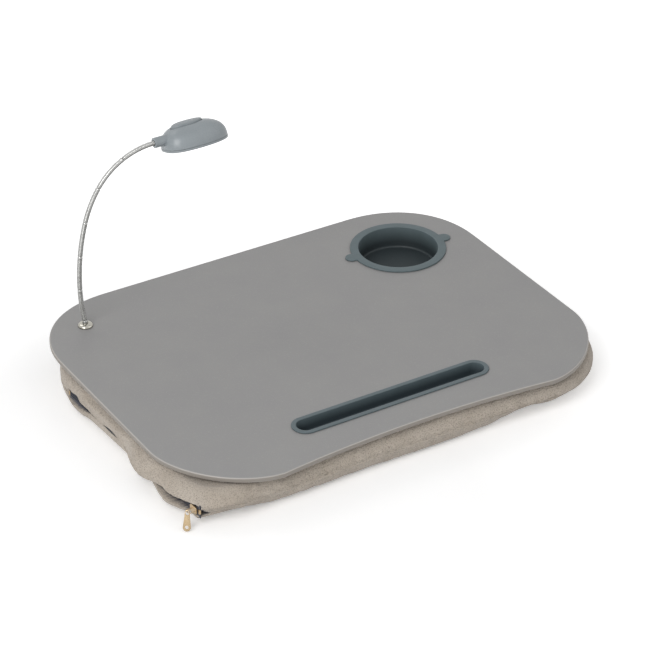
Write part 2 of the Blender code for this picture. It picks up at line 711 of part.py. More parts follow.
def make_lamp_mount():
    """The stud that carries the neck, its domed collar above the board, washer and nut below."""
    frame = Matrix.Translation((LAMP_X, LAMP_Y, 0))
    pivot = BOARD_TOP + FIRST_PIVOT_RISE
    shoulder = BOARD_TOP + STUD_SHOULDER
    profile = [(0, BOARD_BOTTOM - STUD_DROP), (STUD_RADIUS, BOARD_BOTTOM - STUD_DROP)]
    profile += [(STUD_RADIUS, shoulder), (NECK_RADIUS, shoulder)]
    ball_steps = 3
    for i in range(ball_steps):
        angle = math.pi / 2 * i / ball_steps
        profile.append((NECK_RADIUS * math.cos(angle), pivot + NECK_RADIUS * math.sin(angle)))
    profile.append((0, pivot + NECK_RADIUS))
    make_object("lamp_stud", turned(profile), "neck_steel", frame)
    seat = BOARD_TOP + SEAT_GAP
    top = BOARD_TOP + COLLAR_HEIGHT
    bore = NECK_RADIUS + SEAT_GAP
    wide_bore = STUD_RADIUS + SEAT_GAP
    profile = [(wide_bore, seat), (COLLAR_RADIUS, seat), (COLLAR_RADIUS, seat + COLLAR_RIM)]
    dome_steps = 4
    for i in range(1, dome_steps + 1):
        angle = math.pi / 2 * i / dome_steps
        reach = bore + (COLLAR_RADIUS - bore) * math.cos(angle)
        profile.append((reach, seat + COLLAR_RIM + (top - seat - COLLAR_RIM) * math.sin(angle)))
    profile += [(bore, shoulder + SEAT_GAP), (wide_bore, shoulder + SEAT_GAP)]
    make_object("lamp_collar", turned(profile), "bright_nickel", frame)
    washer_top = BOARD_BOTTOM - SEAT_GAP
    washer = ring_bar(wide_bore, WASHER_RADIUS, washer_top - WASHER_THICKNESS, washer_top)
    make_object("lamp_washer", washer, "neck_steel", frame)
    nut_top = washer_top - WASHER_THICKNESS - SEAT_GAP
    corner = NUT_WIDTH / math.sqrt(3)
    hexagon = cylinder(corner, nut_top - NUT_THICKNESS, nut_top, NUT_SIDES)
    nut = make_object("lamp_nut", hexagon, "neck_steel", frame)
    thread = cylinder(wide_bore, nut_top - NUT_THICKNESS - OVERRUN, nut_top + OVERRUN)
    combine(nut, make_object("nut_thread", thread, frame=frame))


def neck_point(distance):
    """Place and lean of the neck's centre line, a chain of arcs in the XZ plane."""
    part = NECK_LENGTH / len(NECK_BENDS_DEG)
    lean = math.radians(NECK_START_LEAN_DEG)
    place = Vector((LAMP_X, LAMP_Y, BOARD_TOP + FIRST_PIVOT_RISE))
    left = distance
    for bend in NECK_BENDS_DEG:
        turn = math.radians(bend) / part
        run = min(left, part)
        end_lean = lean + turn * run
        across = math.cos(lean) - math.cos(end_lean)
        up = math.sin(end_lean) - math.sin(lean)
        place = place + Vector((across, 0, up)) / turn
        lean = end_lean
        left -= run
        if left <= 0:
            break
    return place + Vector((math.sin(lean), 0, math.cos(lean))) * left, lean


def neck_ring(distance, radius, pivot=None):
    """A ring square to the neck; near a pivot it keeps that pivot's own axis."""
    if pivot is None:
        place, lean = neck_point(distance)
    else:
        place, lean = neck_point(pivot)
        place = place + Vector((math.sin(lean), 0, math.cos(lean))) * (distance - pivot)
    side = Vector((math.cos(lean), 0, -math.sin(lean)))
    ring = []
    for i in range(NECK_SIDES):
        angle = 2 * math.pi * i / NECK_SIDES
        ring.append(place + side * radius * math.cos(angle) + Vector((0, radius * math.sin(angle), 0)))
    return ring


def neck_rings(start, end, last):
    """Rings of one length of neck: a hollow seat, ribs, and a ball or a plain plug."""
    pocket = NECK_RADIUS + POCKET_GAP
    rim = math.asin(NECK_RADIUS / pocket)
    seat_steps = 3
    rings = []
    for i in range(1, seat_steps + 1):
        angle = rim * i / seat_steps
        rings.append(neck_ring(start + pocket * math.cos(angle), pocket * math.sin(angle), start))
    first = start + pocket
    ribbed = end - NECK_RADIUS / 2 - first
    for i in range(RIBS_PER_LENGTH):
        here = first + ribbed * i / RIBS_PER_LENGTH
        rings.append(neck_ring(here, NECK_RADIUS))
        rings.append(neck_ring(here + ribbed / RIBS_PER_LENGTH / 2, NECK_RADIUS - NECK_GROOVE))
    if last:
        rings.append(neck_ring(end, NECK_RADIUS))
        rings.append(neck_ring(end + NECK_PLUG, NECK_RADIUS, end))
        return rings
    ball_steps = 3
    for i in range(ball_steps):
        angle = math.pi / 2 * i / ball_steps
        rings.append(neck_ring(end + NECK_RADIUS * math.sin(angle), NECK_RADIUS * math.cos(angle), end))
    return rings


def make_neck():
    """The bendable neck as lengths that meet in ball seats, each hung from the one before."""
    part = NECK_LENGTH / len(NECK_BENDS_DEG)
    parent = None
    for number in range(len(NECK_BENDS_DEG)):
        start = part * number
        pivot = make_pivot(f"neck_pivot_{number + 1}", neck_point(start)[0], parent)
        last = number == len(NECK_BENDS_DEG) - 1
        tube = loft(neck_rings(start, start + part, last))
        make_object(f"gooseneck_{number + 1}", tube, "neck_steel", parent=pivot)
        parent = pivot
    return parent


def head_frame():
    """The lamp head's frame: along the neck's end, turned so that the light faces the sitter."""
    place, lean = neck_point(NECK_LENGTH)
    point_along = Matrix.Rotation(lean - math.pi / 2, 4, "Y")
    return Matrix.Translation(place) @ point_along @ Matrix.Rotation(math.radians(HEAD_ROLL_DEG), 4, "X")


def egg_size(along, full, widest_share, rear_power, front_power, length):
    """Half width or height of the head at a distance from its rear end."""
    widest = length * widest_share
    if along < widest:
        return full * max(1 - ((widest - along) / widest) ** rear_power, 0) ** (1 / rear_power)
    return full * max(1 - ((along - widest) / (length - widest)) ** front_power, 0) ** (1 / front_power)


def head_egg(grow, bottom, steps):
    """The head's egg shape, grown or shrunk all round, with a flat bottom."""
    length = HEAD_LENGTH + 2 * grow
    start = HEAD_COLLAR_LENGTH - grow
    rings = []
    for i in range(steps + 1):
        share = HEAD_END_SHARE + (1 - 2 * HEAD_END_SHARE) * (1 - math.cos(math.pi * i / steps)) / 2
        along = length * share
        half = egg_size(along, HEAD_HALF_WIDTH + grow, HEAD_WIDEST_SHARE, *HEAD_WIDTH_POWER_SHARES, length)
        tall = egg_size(along, HEAD_HEIGHT + grow, HEAD_TALLEST_SHARE, *HEAD_HEIGHT_POWER_SHARES, length)
        ring = []
        for j in range(steps + 1):
            angle = math.pi * j / steps
            cos, sin = math.cos(angle), math.sin(angle)
            y = half * math.copysign(abs(cos) ** (2 / HEAD_SECTION_POWER_SHARE), cos)
            z = tall * max(sin, 0) ** (2 / HEAD_SECTION_POWER_SHARE)
            ring.append((start + along, y, max(z - HEAD_AXIS_HEIGHT, bottom)))
        ring += [(start + along, -half, bottom - OVERRUN), (start + along, half, bottom - OVERRUN)]
        rings.append(ring)
    return loft(rings)


def big_block(bottom, top):
    """A block wider and longer than the head."""
    reach = HEAD_LENGTH + HEAD_COLLAR_LENGTH + OVERRUN
    return block((-OVERRUN, -reach, bottom), (reach, reach, top))


def head_place(from_rear, side=0.0):
    """A frame at a distance from the head's rear end, for round features."""
    return head_frame() @ Matrix.Translation((HEAD_COLLAR_LENGTH + from_rear, side, 0))


def oval(half_length, half_width, steps=SMALL_STEPS):
    """An oval outline about the origin."""
    angles = [2 * math.pi * i / steps for i in range(steps)]
    return [(half_length * math.cos(a), half_width * math.sin(a)) for a in angles]


def make_head_shell(parent):
    """The domed upper shell with the neck's socket, the button hole and two screw bosses."""
    frame = head_frame()
    underside = HEAD_UNDERSIDE
    split = underside + BASE_THICKNESS + SEAT_GAP
    shell = make_object("head_shell", head_egg(0, underside, SHELL_STEPS), "lamp_plastic", frame, parent)
    socket_frame = frame @ Matrix.Rotation(math.pi / 2, 4, "Y")
    merge = HEAD_COLLAR_LENGTH + 2 * HEAD_WALL + HEAD_COLLAR_RADIUS
    socket = make_object("socket_outside", cylinder(HEAD_COLLAR_RADIUS, 0, merge), frame=socket_frame)
    combine(shell, socket, "UNION")
    combine(shell, make_object("below_split", big_block(underside - 2 * OVERRUN, split), frame=frame))
    cavity = make_object("head_cavity", head_egg(-HEAD_WALL, split - OVERRUN, LINING_STEPS), frame=frame)
    combine(shell, cavity)
    bore = cylinder(NECK_RADIUS + RUN_GAP, -OVERRUN, merge + OVERRUN)
    plug = cylinder(HEAD_COLLAR_RADIUS - HEAD_WALL / 2, NECK_PLUG + SEAT_GAP, merge)
    combine(shell, make_object("socket_floor", plug, frame=socket_frame), "UNION")
    for side in (-1, 1):
        place = head_place(SCREW_FROM_REAR, side * SCREW_OFFSET)
        boss = make_object(f"boss_{side}", cylinder(BOSS_RADIUS, split, BOSS_TOP, SCREW_STEPS), frame=place)
        combine(shell, boss, "UNION")
        pilot_top = underside + SCREW_LENGTH + SEAT_GAP
        pilot = cylinder(SCREW_SHANK_RADIUS + SEAT_GAP, split - OVERRUN, pilot_top, SCREW_STEPS)
        combine(shell, make_object(f"pilot_{side}", pilot, frame=place))
    hole = oval(BUTTON_HALF_LENGTH + RUN_GAP, BUTTON_HALF_WIDTH + RUN_GAP)
    top = HEAD_HEIGHT + OVERRUN
    combine(shell, make_object("button_hole", prism(hole, 0, top), frame=head_place(BUTTON_FROM_REAR)))
    bore = cylinder(NECK_RADIUS + RUN_GAP, -OVERRUN, NECK_PLUG + SEAT_GAP)
    combine(shell, make_object("neck_bore", bore, frame=socket_frame))


def make_head_base(parent):
    """The flat lower shell with the battery tube and the seat for the light."""
    frame = head_frame()
    underside = HEAD_UNDERSIDE
    floor = underside + BASE_THICKNESS
    base = make_object("head_base", head_egg(0, underside, SHELL_STEPS), "lamp_plastic", frame, parent)
    below = big_block(underside - 2 * OVERRUN, underside)
    combine(base, make_object("below_underside", below, frame=frame))
    combine(base, make_object("above_split", big_block(floor, HEAD_HEIGHT), frame=frame))
    battery = head_place(BATTERY_FROM_REAR)
    hole = COVER_RADIUS + SEAT_GAP
    tube = cylinder(hole + TUBE_WALL, floor - TUBE_WALL, TUBE_TOP)
    combine(base, make_object("tube_outside", tube, frame=battery), "UNION")
    tube_hole = cylinder(hole, underside - OVERRUN, TUBE_TOP + OVERRUN)
    combine(base, make_object("tube_hole", tube_hole, frame=battery))
    groove_radius = LUG_REACH + SEAT_GAP
    groove_top = floor + 2 * SEAT_GAP + LUG_THICKNESS
    combine(base, make_object("lug_groove", cylinder(groove_radius, floor, groove_top), frame=battery))
    notch_half = LUG_WIDTH / 2 + SEAT_GAP
    turn = battery @ Matrix.Rotation(math.radians(LUG_RELEASE_DEG), 4, "Z")
    notch_low = (-groove_radius, -notch_half, underside - OVERRUN)
    notch = block(notch_low, (groove_radius, notch_half, floor + SEAT_GAP))
    combine(base, make_object("lug_notch", notch, frame=turn))
    light = head_place(LIGHT_FROM_REAR)
    lens_hole = LENS_RADIUS + SEAT_GAP
    lens_seat = underside + LENS_LIP_THICKNESS
    ring_top = lens_seat + SEAT_GAP + LENS_THICKNESS + SEAT_GAP + LED_HEIGHT
    ring = cylinder(lens_hole + LIGHT_RING_WALL, floor - TUBE_WALL, ring_top)
    combine(base, make_object("light_ring", ring, frame=light), "UNION")
    combine(base, make_object("lens_hole", cylinder(lens_hole, lens_seat, ring_top + OVERRUN), frame=light))
    window = cylinder(LENS_RADIUS - LENS_LIP, underside - OVERRUN, lens_seat + OVERRUN)
    combine(base, make_object("light_window", window, frame=light))
    for side in (-1, 1):
        place = head_place(SCREW_FROM_REAR, side * SCREW_OFFSET)
        head_top = underside + SCREW_HEAD_HEIGHT + 2 * SEAT_GAP
        sink = cylinder(SCREW_HEAD_RADIUS + SEAT_GAP, underside - OVERRUN, head_top, SCREW_STEPS)
        combine(base, make_object(f"screw_sink_{side}", sink, frame=place))
        hole = cylinder(SCREW_SHANK_RADIUS + SEAT_GAP, underside - OVERRUN, floor + OVERRUN, SCREW_STEPS)
        combine(base, make_object(f"screw_hole_{side}", hole, frame=place))


def make_screws(parent):
    """The two screws that hold the lower shell to the bosses of the upper one."""
    underside = HEAD_UNDERSIDE
    for number, side in enumerate((-1, 1), 1):
        place = head_place(SCREW_FROM_REAR, side * SCREW_OFFSET)
        bottom = underside + SEAT_GAP
        head_top = bottom + SCREW_HEAD_HEIGHT
        profile = [(0, bottom), (SCREW_HEAD_RADIUS, bottom), (SCREW_HEAD_RADIUS, head_top)]
        profile += [(SCREW_SHANK_RADIUS, head_top), (SCREW_SHANK_RADIUS, underside + SCREW_LENGTH)]
        profile += [(0, underside + SCREW_LENGTH)]
        make_object(f"shell_screw_{number}", turned(profile, SCREW_STEPS), "bright_nickel", place, parent)


def make_light(parent):
    """The lens in its window, and the LEDs on their small round board."""
    light = head_place(LIGHT_FROM_REAR)
    lens_bottom = HEAD_UNDERSIDE + LENS_LIP_THICKNESS + SEAT_GAP
    lens_top = lens_bottom + LENS_THICKNESS
    make_object("light_lens", cylinder(LENS_RADIUS, lens_bottom, lens_top), "clear_plastic", light, parent)
    led_bottom = lens_top + SEAT_GAP
    led_top = led_bottom + LED_HEIGHT - SEAT_GAP
    half = LED_SIDE / 2
    corners = [(x, y) for y in (-1, 1) for x in (-1, 1)]
    for number, (side_x, side_y) in enumerate(corners, 1):
        x, y = side_x * LED_SPACING / 2, side_y * LED_SPACING / 2
        chip = block((x - half, y - half, led_bottom), (x + half, y + half, led_top))
        make_object(f"led_{number}", chip, "led_white", light, parent)
    board_bottom = led_top + 2 * SEAT_GAP
    board = cylinder(LED_BOARD_RADIUS, board_bottom, board_bottom + LED_BOARD_THICKNESS)
    make_object("led_board", board, "circuit_green", light, parent)


def make_battery_cover(parent):
    """The coin-slotted cover, with its cup, lugs and the two cells that it holds."""
    battery = head_place(BATTERY_FROM_REAR)
    pivot = make_pivot("battery_cover_pivot", battery.translation, parent)
    bottom = HEAD_UNDERSIDE + COVER_RECESS
    disc_top = bottom + COVER_DISC
    cup_top = disc_top + CELL_THICKNESS
    inner = CELL_RADIUS + RUN_GAP
    profile = [(0, bottom), (COVER_RADIUS, bottom), (COVER_RADIUS, cup_top), (inner, cup_top)]
    profile += [(inner, disc_top), (0, disc_top)]
    cover = make_object("battery_cover", turned(profile), "lamp_plastic", battery, pivot)
    lug_bottom = HEAD_UNDERSIDE + BASE_THICKNESS + SEAT_GAP
    for side in (-1, 1):
        near, far = sorted((side * (COVER_RADIUS - SEAT_GAP), side * LUG_REACH))
        lug = block((near, -LUG_WIDTH / 2, lug_bottom), (far, LUG_WIDTH / 2, lug_bottom + LUG_THICKNESS))
        combine(cover, make_object(f"lug_{side}", lug, frame=battery), "UNION")
    half = COIN_SLOT_LENGTH / 2
    slot_low = (-half, -COIN_SLOT_WIDTH / 2, bottom - OVERRUN)
    slot = block(slot_low, (half, COIN_SLOT_WIDTH / 2, bottom + COIN_SLOT_DEPTH))
    combine(cover, make_object("coin_slot", slot, frame=battery))
    first = disc_top + SEAT_GAP
    for number in range(2):
        low = first + number * (CELL_THICKNESS + SEAT_GAP)
        cell = cylinder(CELL_RADIUS, low, low + CELL_THICKNESS)
        make_object(f"button_cell_{number + 1}", cell, "cell_steel", battery, pivot)
    return first + 2 * CELL_THICKNESS + SEAT_GAP


def make_switch(parent, cells_top):
    """The sprung contact, the round circuit board and the push switch on it."""
    battery = head_place(BATTERY_FROM_REAR)
    low = cells_top + SEAT_GAP
    contact = cylinder(CONTACT_RADIUS, low, low + CONTACT_THICKNESS)
    make_object("battery_contact", contact, "brass", battery, parent)
    board_low = max(low + CONTACT_THICKNESS, TUBE_TOP) + SEAT_GAP
    board = cylinder(CIRCUIT_RADIUS, board_low, board_low + CIRCUIT_THICKNESS)
    make_object("control_board", board, "circuit_green", battery, parent)
    switch = head_place(BUTTON_FROM_REAR)
    body_low = board_low + CIRCUIT_THICKNESS + SEAT_GAP
    body_top = body_low + SWITCH_HEIGHT
    half = SWITCH_SIDE / 2
    cube = block((-half, -half, body_low), (half, half, body_top))
    body = make_object("push_switch", cube, "switch_black", switch, parent)
    plunger_top = body_top + PLUNGER_PROUD
    plunger_low = plunger_top - PLUNGER_LENGTH
    well_low = plunger_low - BUTTON_TRAVEL - SEAT_GAP
    well = cylinder(PLUNGER_RADIUS + SEAT_GAP, well_low, body_top + OVERRUN, SCREW_STEPS)
    combine(body, make_object("plunger_well", well, frame=switch))
    return plunger_low, plunger_top


def make_button(parent, plunger_low, plunger_top):
    """The raised oval button with its inner flange, its stem and the switch's plunger."""
    frame = head_frame()
    place = head_place(BUTTON_FROM_REAR)
    pivot = make_pivot("power_button_pivot", place.translation, parent)
    block_low = BUTTON_BLOCK_HEIGHT
    top = HEAD_HEIGHT
    cap = make_object("power_button", prism(oval(BUTTON_HALF_LENGTH, BUTTON_HALF_WIDTH), block_low, top),
                      "button_plastic", place, pivot)
    crown = make_object("button_crown", head_egg(BUTTON_PROUD, HEAD_UNDERSIDE, SHELL_STEPS), frame=frame)
    combine(cap, crown, "INTERSECT")
    wide = oval(BUTTON_HALF_LENGTH + BUTTON_FLANGE, BUTTON_HALF_WIDTH + BUTTON_FLANGE)
    flange = make_object("button_flange", prism(wide, block_low, top), frame=place)
    inside = head_egg(-HEAD_WALL - SEAT_GAP, HEAD_UNDERSIDE, LINING_STEPS)
    combine(flange, make_object("flange_limit", inside, frame=frame), "INTERSECT")
    combine(cap, flange, "UNION")
    stem_low = plunger_top + SEAT_GAP
    stem = cylinder(STEM_RADIUS, stem_low, block_low + BUTTON_PROUD, SCREW_STEPS)
    combine(cap, make_object("button_stem", stem, frame=place), "UNION")
    plunger = cylinder(PLUNGER_RADIUS, plunger_low, plunger_top, SCREW_STEPS)
    make_object("switch_plunger", plunger, "switch_black", place, pivot)


def make_head(neck_end):
    """The whole lamp head, turning on the end of the neck."""
    pivot = make_pivot("head_pivot", neck_point(NECK_LENGTH)[0], neck_end)
    make_head_shell(pivot)
    make_head_base(pivot)
    make_screws(pivot)
    make_light(pivot)
    cells_top = make_battery_cover(pivot)
    plunger_low, plunger_top = make_switch(pivot, cells_top)
    make_button(pivot, plunger_low, plunger_top)


def make_zip():
    """The closed zip in the left flank: two tapes, the chain and its two stops."""
    frame, length = zip_line()
    half_chain = CHAIN_HEIGHT / 2
    half_thick = CHAIN_THICKNESS / 2
    chain = block((-half_thick, 0, -half_chain), (half_thick, length, half_chain))
    make_object("zipper_chain", chain, "zip_teeth", frame)
    for name, side in (("upper", 1), ("lower", -1)):
        near = side * (half_chain + SEAT_GAP)
        bottom, top = sorted((near, near + side * TAPE_HEIGHT))
        tape = block((0, -STOP_LENGTH, bottom), (TAPE_THICKNESS, length + STOP_LENGTH, top))
        make_object(f"zipper_tape_{name}", tape, "zip_tape", frame)
    for name, start in (("front", -SEAT_GAP - STOP_LENGTH), ("rear", length + SEAT_GAP)):
        stop = block((-half_thick, start, -half_chain), (half_thick, start + STOP_LENGTH, half_chain))
        make_object(f"zipper_stop_{name}", stop, "brass", frame)


def slider_face():
    """How far out the slider's plate lies from the middle of the chain, inner and outer face."""
    inner = CHAIN_THICKNESS / 2 + RUN_GAP
    return -inner, -inner - SLIDER_PLATE


def slider_plate():
    """The slider's plate: narrow where it closes the chain, wide where the tapes part."""
    half_height = SLIDER_HEIGHT / 2
    neck = half_height * SLIDER_NECK_SHARE
    widest = SLIDER_LENGTH * SLIDER_WIDEST_SHARE
    upper = [(0, neck), (widest, half_height), (SLIDER_LENGTH, neck)]
    plan = [(y, -z) for y, z in upper] + list(reversed(upper))
    return loft([[(x, y, z) for y, z in plan] for x in reversed(slider_face())])


def make_slider():
    """The slider that runs on the chain, with the bail that its pull hangs from."""
    frame = zip_line()[0]
    pivot = make_pivot("zipper_slider_pivot", frame @ Vector((0, SLIDER_LENGTH / 2, 0)))
    slider = make_object("zipper_slider", slider_plate(), "brass", frame, pivot)
    inner, outer = slider_face()
    middle = (inner + outer) / 2
    lip_room = SLIDER_LENGTH * (1 - SLIDER_WIDEST_SHARE)
    for side in (-1, 1):
        near = side * (CHAIN_HEIGHT / 2 + RUN_GAP)
        bottom, top = sorted((near, near + side * SLIDER_LIP))
        lip = block((middle, lip_room, bottom), (-RUN_GAP, SLIDER_LENGTH - lip_room, top))
        combine(slider, make_object(f"slider_lip_{side}", lip, frame=frame), "UNION")
    tip = outer - BAIL_REACH
    half_bar = BAIL_BAR / 2
    bail = block((tip, BAIL_NOSE, -half_bar), (middle, BAIL_NOSE + BAIL_LENGTH, half_bar))
    combine(slider, make_object("bail_outside", bail, frame=frame), "UNION")
    far_leg = BAIL_NOSE + BAIL_LENGTH - BAIL_BAR
    inside = block((tip + BAIL_BAR, BAIL_NOSE + BAIL_BAR, -BAIL_BAR), (outer, far_leg, BAIL_BAR))
    combine(slider, make_object("bail_inside", inside, frame=frame))
    return pivot


def bail_place():
    """The middle of the bail's bar, where the pull hangs."""
    tip = slider_face()[1] - BAIL_REACH
    return zip_line()[0] @ Vector((tip + BAIL_BAR / 2, BAIL_NOSE + BAIL_LENGTH / 2, 0))


def eye_centre():
    """How far below the bail's bar the middle of the pull's round eye lies."""
    return PULL_EYE_RADIUS - BAIL_BAR / 2 - PULL_PLAY - PULL_BAR


def arc(centre_y, radius, start_deg, steps):
    """Half a circle in the pull's plane."""
    angles = [math.radians(start_deg + 180 * i / steps) for i in range(steps + 1)]
    return [(radius * math.cos(a), centre_y + radius * math.sin(a)) for a in angles]


def pull_outline():
    """The pull's face: a round eye, then a tab that widens to a round end."""
    half_steps = SMALL_STEPS // 3
    tip = arc(PULL_LENGTH - PULL_END_HALF_WIDTH, PULL_END_HALF_WIDTH, 0, half_steps)
    eye = arc(eye_centre(), PULL_EYE_RADIUS, 180, half_steps)
    shoulder = (PULL_TOP_HALF_WIDTH, PULL_EYE_LENGTH)
    return [shoulder] + tip + [(-shoulder[0], shoulder[1])] + eye


def make_pull(slider_pivot):
    """The pull tab, its tip just above the ground in front of the corner."""
    bail = bail_place()
    pivot = make_pivot("zipper_pull_pivot", bail, slider_pivot)
    round_end = PULL_END_HALF_WIDTH
    lean = math.acos((bail.z - PULL_FLOOR_GAP - round_end) / (PULL_LENGTH - round_end))
    heading = Matrix.Rotation(math.radians(PULL_HEADING_DEG), 4, "Z")
    hanging = Matrix.Rotation(-math.pi / 2 - lean, 4, "X")
    frame = Matrix.Translation(bail) @ heading @ hanging
    half = PULL_THICKNESS / 2
    pull = make_object("zipper_pull", prism(pull_outline(), -half, half), "brass", frame, pivot)
    eye_top = -BAIL_BAR / 2 - PULL_PLAY
    eye_half = (PULL_EYE_LENGTH - PULL_BAR - eye_top) / 2
    eye = prism(oval(PULL_EYE_RADIUS - PULL_BAR, eye_half), -PULL_THICKNESS, PULL_THICKNESS)
    eye_frame = frame @ Matrix.Translation((0, eye_top + eye_half, 0))
    combine(pull, make_object("pull_eye", eye, frame=eye_frame))
    hole_frame = frame @ Matrix.Translation((0, PULL_LENGTH - round_end, 0))
    hole = cylinder(PULL_HOLE_RADIUS, -PULL_THICKNESS, PULL_THICKNESS, SCREW_STEPS)
    combine(pull, make_object("pull_hole", hole, frame=hole_frame))


def main():
    """Build the lap desk piece by piece."""
    clear_scene()
    make_board()
    make_cushion()
    make_strips()
    make_cup_holder()
    make_pen_tray()
    make_lamp_mount()
    neck_end = make_neck()
    make_head(neck_end)
    make_zip()
    slider_pivot = make_slider()
    make_pull(slider_pivot)


main()
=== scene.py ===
"""Looks of the cushioned lap desk: its finishes, its soft cushion and its finely shaped pieces, set
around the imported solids. Metres, +Z up, in the solids' own frame."""
import json
import math

import bmesh
import bpy
from mathutils import Matrix, Vector, noise
from mathutils.geometry import delaunay_2d_cdt

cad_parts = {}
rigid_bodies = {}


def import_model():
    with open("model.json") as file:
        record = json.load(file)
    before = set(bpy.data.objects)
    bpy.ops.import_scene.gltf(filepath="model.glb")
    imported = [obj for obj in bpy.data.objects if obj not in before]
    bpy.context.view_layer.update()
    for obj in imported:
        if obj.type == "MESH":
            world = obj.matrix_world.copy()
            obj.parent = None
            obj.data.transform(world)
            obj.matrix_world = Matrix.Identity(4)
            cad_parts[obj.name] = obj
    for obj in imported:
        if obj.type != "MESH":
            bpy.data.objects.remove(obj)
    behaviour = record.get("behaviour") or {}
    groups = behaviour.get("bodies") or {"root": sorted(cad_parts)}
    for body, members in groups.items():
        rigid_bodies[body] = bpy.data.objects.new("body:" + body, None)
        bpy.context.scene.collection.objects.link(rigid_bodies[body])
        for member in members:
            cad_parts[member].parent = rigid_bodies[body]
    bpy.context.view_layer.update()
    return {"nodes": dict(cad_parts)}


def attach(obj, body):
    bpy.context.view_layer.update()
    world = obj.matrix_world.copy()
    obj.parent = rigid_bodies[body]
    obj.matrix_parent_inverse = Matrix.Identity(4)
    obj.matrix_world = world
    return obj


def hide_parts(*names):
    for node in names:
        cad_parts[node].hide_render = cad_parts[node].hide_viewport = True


for leftover in list(bpy.data.objects):
    bpy.data.objects.remove(leftover, do_unlink=True)
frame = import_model()

# Clearances
SEAT_GAP = 0.0003
RUN_GAP = 0.0004
OVERRUN = 0.003
MERGE_DISTANCE = 0.0000001

# Board
BOARD_WIDTH = 0.443
BOARD_DEPTH = 0.341
BOARD_THICKNESS = 0.005
BOARD_EDGE_ROUND = 0.0014
REAR_CORNER_WIDTH = 0.090
REAR_CORNER_DEPTH = 0.0895
FRONT_CORNER_WIDTH = 0.083
FRONT_CORNER_DEPTH = 0.0865
FRONT_DIP = 0.0087
REAR_CORNER_POWER_SHARE = 2.2
FRONT_CORNER_POWER_SHARE = 1.75

# Cushion
CUSHION_HEIGHT = 0.0302
CUSHION_SIDE_OVERHANG = 0.003
CUSHION_FRONT_INSET = 0.0035
CUSHION_REAR_INSET = 0.0105
SEAM_HEIGHT = 0.016
SHOULDER_REACH = 0.022
SHOULDER_POWER_SHARE = 2.4
SIDE_DRAW_IN = 0.004
ZIP_CORNER_RADIUS = 0.052
ZIP_CORNER_POWER_SHARE = 2.6
FRONT_RIGHT_RADIUS = 0.085
REAR_LEFT_RADIUS = 0.105
REAR_RIGHT_RADIUS = 0.085
STRIP_SPACE = 0.0028

# Cup holder
CUP_FROM_SIDE = 0.0766
CUP_FROM_REAR = 0.0735
CUP_FLANGE_RADIUS = 0.046
CUP_INNER_RADIUS = 0.038
CUP_WALL = 0.0016
CUP_DRAFT = 0.0004
CUP_DEPTH = 0.0219
CUP_FLANGE_THICKNESS = 0.0015
CUP_FLANGE_ROUND = 0.0006
CUP_FLOOR_ROUND = 0.0022
EAR_RADIUS = 0.0062
EAR_REACH = 0.0545
EAR_TURN_DEG = -8.0

# Pen tray
TRAY_FROM_FRONT = 0.052
TRAY_LENGTH = 0.201
TRAY_WIDTH = 0.026
TRAY_DEPTH = 0.013
TRAY_FLANGE_WIDTH = 0.0043
TRAY_FLANGE_THICKNESS = 0.0011
TRAY_FLANGE_ROUND = 0.0005
TRAY_WALL = 0.0012
TRAY_DRAFT = 0.0010
TRAY_FLOOR_ROUND = 0.0018

# Lamp mounting
LAMP_FROM_SIDE = 0.0472
LAMP_FROM_REAR = 0.0430
COLLAR_RADIUS = 0.0070
COLLAR_HEIGHT = 0.0033
COLLAR_RIM = 0.0006
STUD_RADIUS = 0.0030
STUD_DROP = 0.0047
STUD_SHOULDER = 0.0009
FIRST_PIVOT_RISE = 0.0046

# Bendable neck
NECK_LENGTH = 0.2040
NECK_RADIUS = 0.0024
NECK_START_LEAN_DEG = -11.0
NECK_BENDS_DEG = (10.0, 8.0, 9.0, 18.0, 28.0, 28.0)
NECK_PLUG = 0.006
RIB_THICKNESS = 0.0005
RIB_COUNT = 25
FIRST_RIB = 0.0022
CORE_RADIUS = 0.00195
CORE_START = 0.0029

# Lamp head
HEAD_ROLL_DEG = -17.0
HEAD_COLLAR_RADIUS = 0.00475
HEAD_COLLAR_LENGTH = 0.009
HEAD_LENGTH = 0.064
HEAD_HALF_WIDTH = 0.0195
HEAD_HEIGHT = 0.0215
HEAD_AXIS_HEIGHT = 0.0111
HEAD_WALL = 0.0016
HEAD_WIDEST_SHARE = 0.41
HEAD_TALLEST_SHARE = 0.47
HEAD_WIDTH_POWER_SHARES = (2.6, 2.1)
HEAD_HEIGHT_POWER_SHARES = (3.0, 2.6)
HEAD_SECTION_POWER_SHARE = 2.4
HEAD_END_SHARE = 0.002
BASE_THICKNESS = 0.0021
BASE_EDGE_ROUND = 0.0006
COLLAR_EDGE_ROUND = 0.0005

# Power button
BUTTON_FROM_REAR = 0.026
BUTTON_HALF_LENGTH = 0.0155
BUTTON_HALF_WIDTH = 0.0070
BUTTON_PROUD = 0.0016
BUTTON_EDGE_ROUND = 0.0009
BUTTON_FLANGE = 0.0013
BUTTON_BLOCK_HEIGHT = 0.0053
BUTTON_GAP = 0.0007

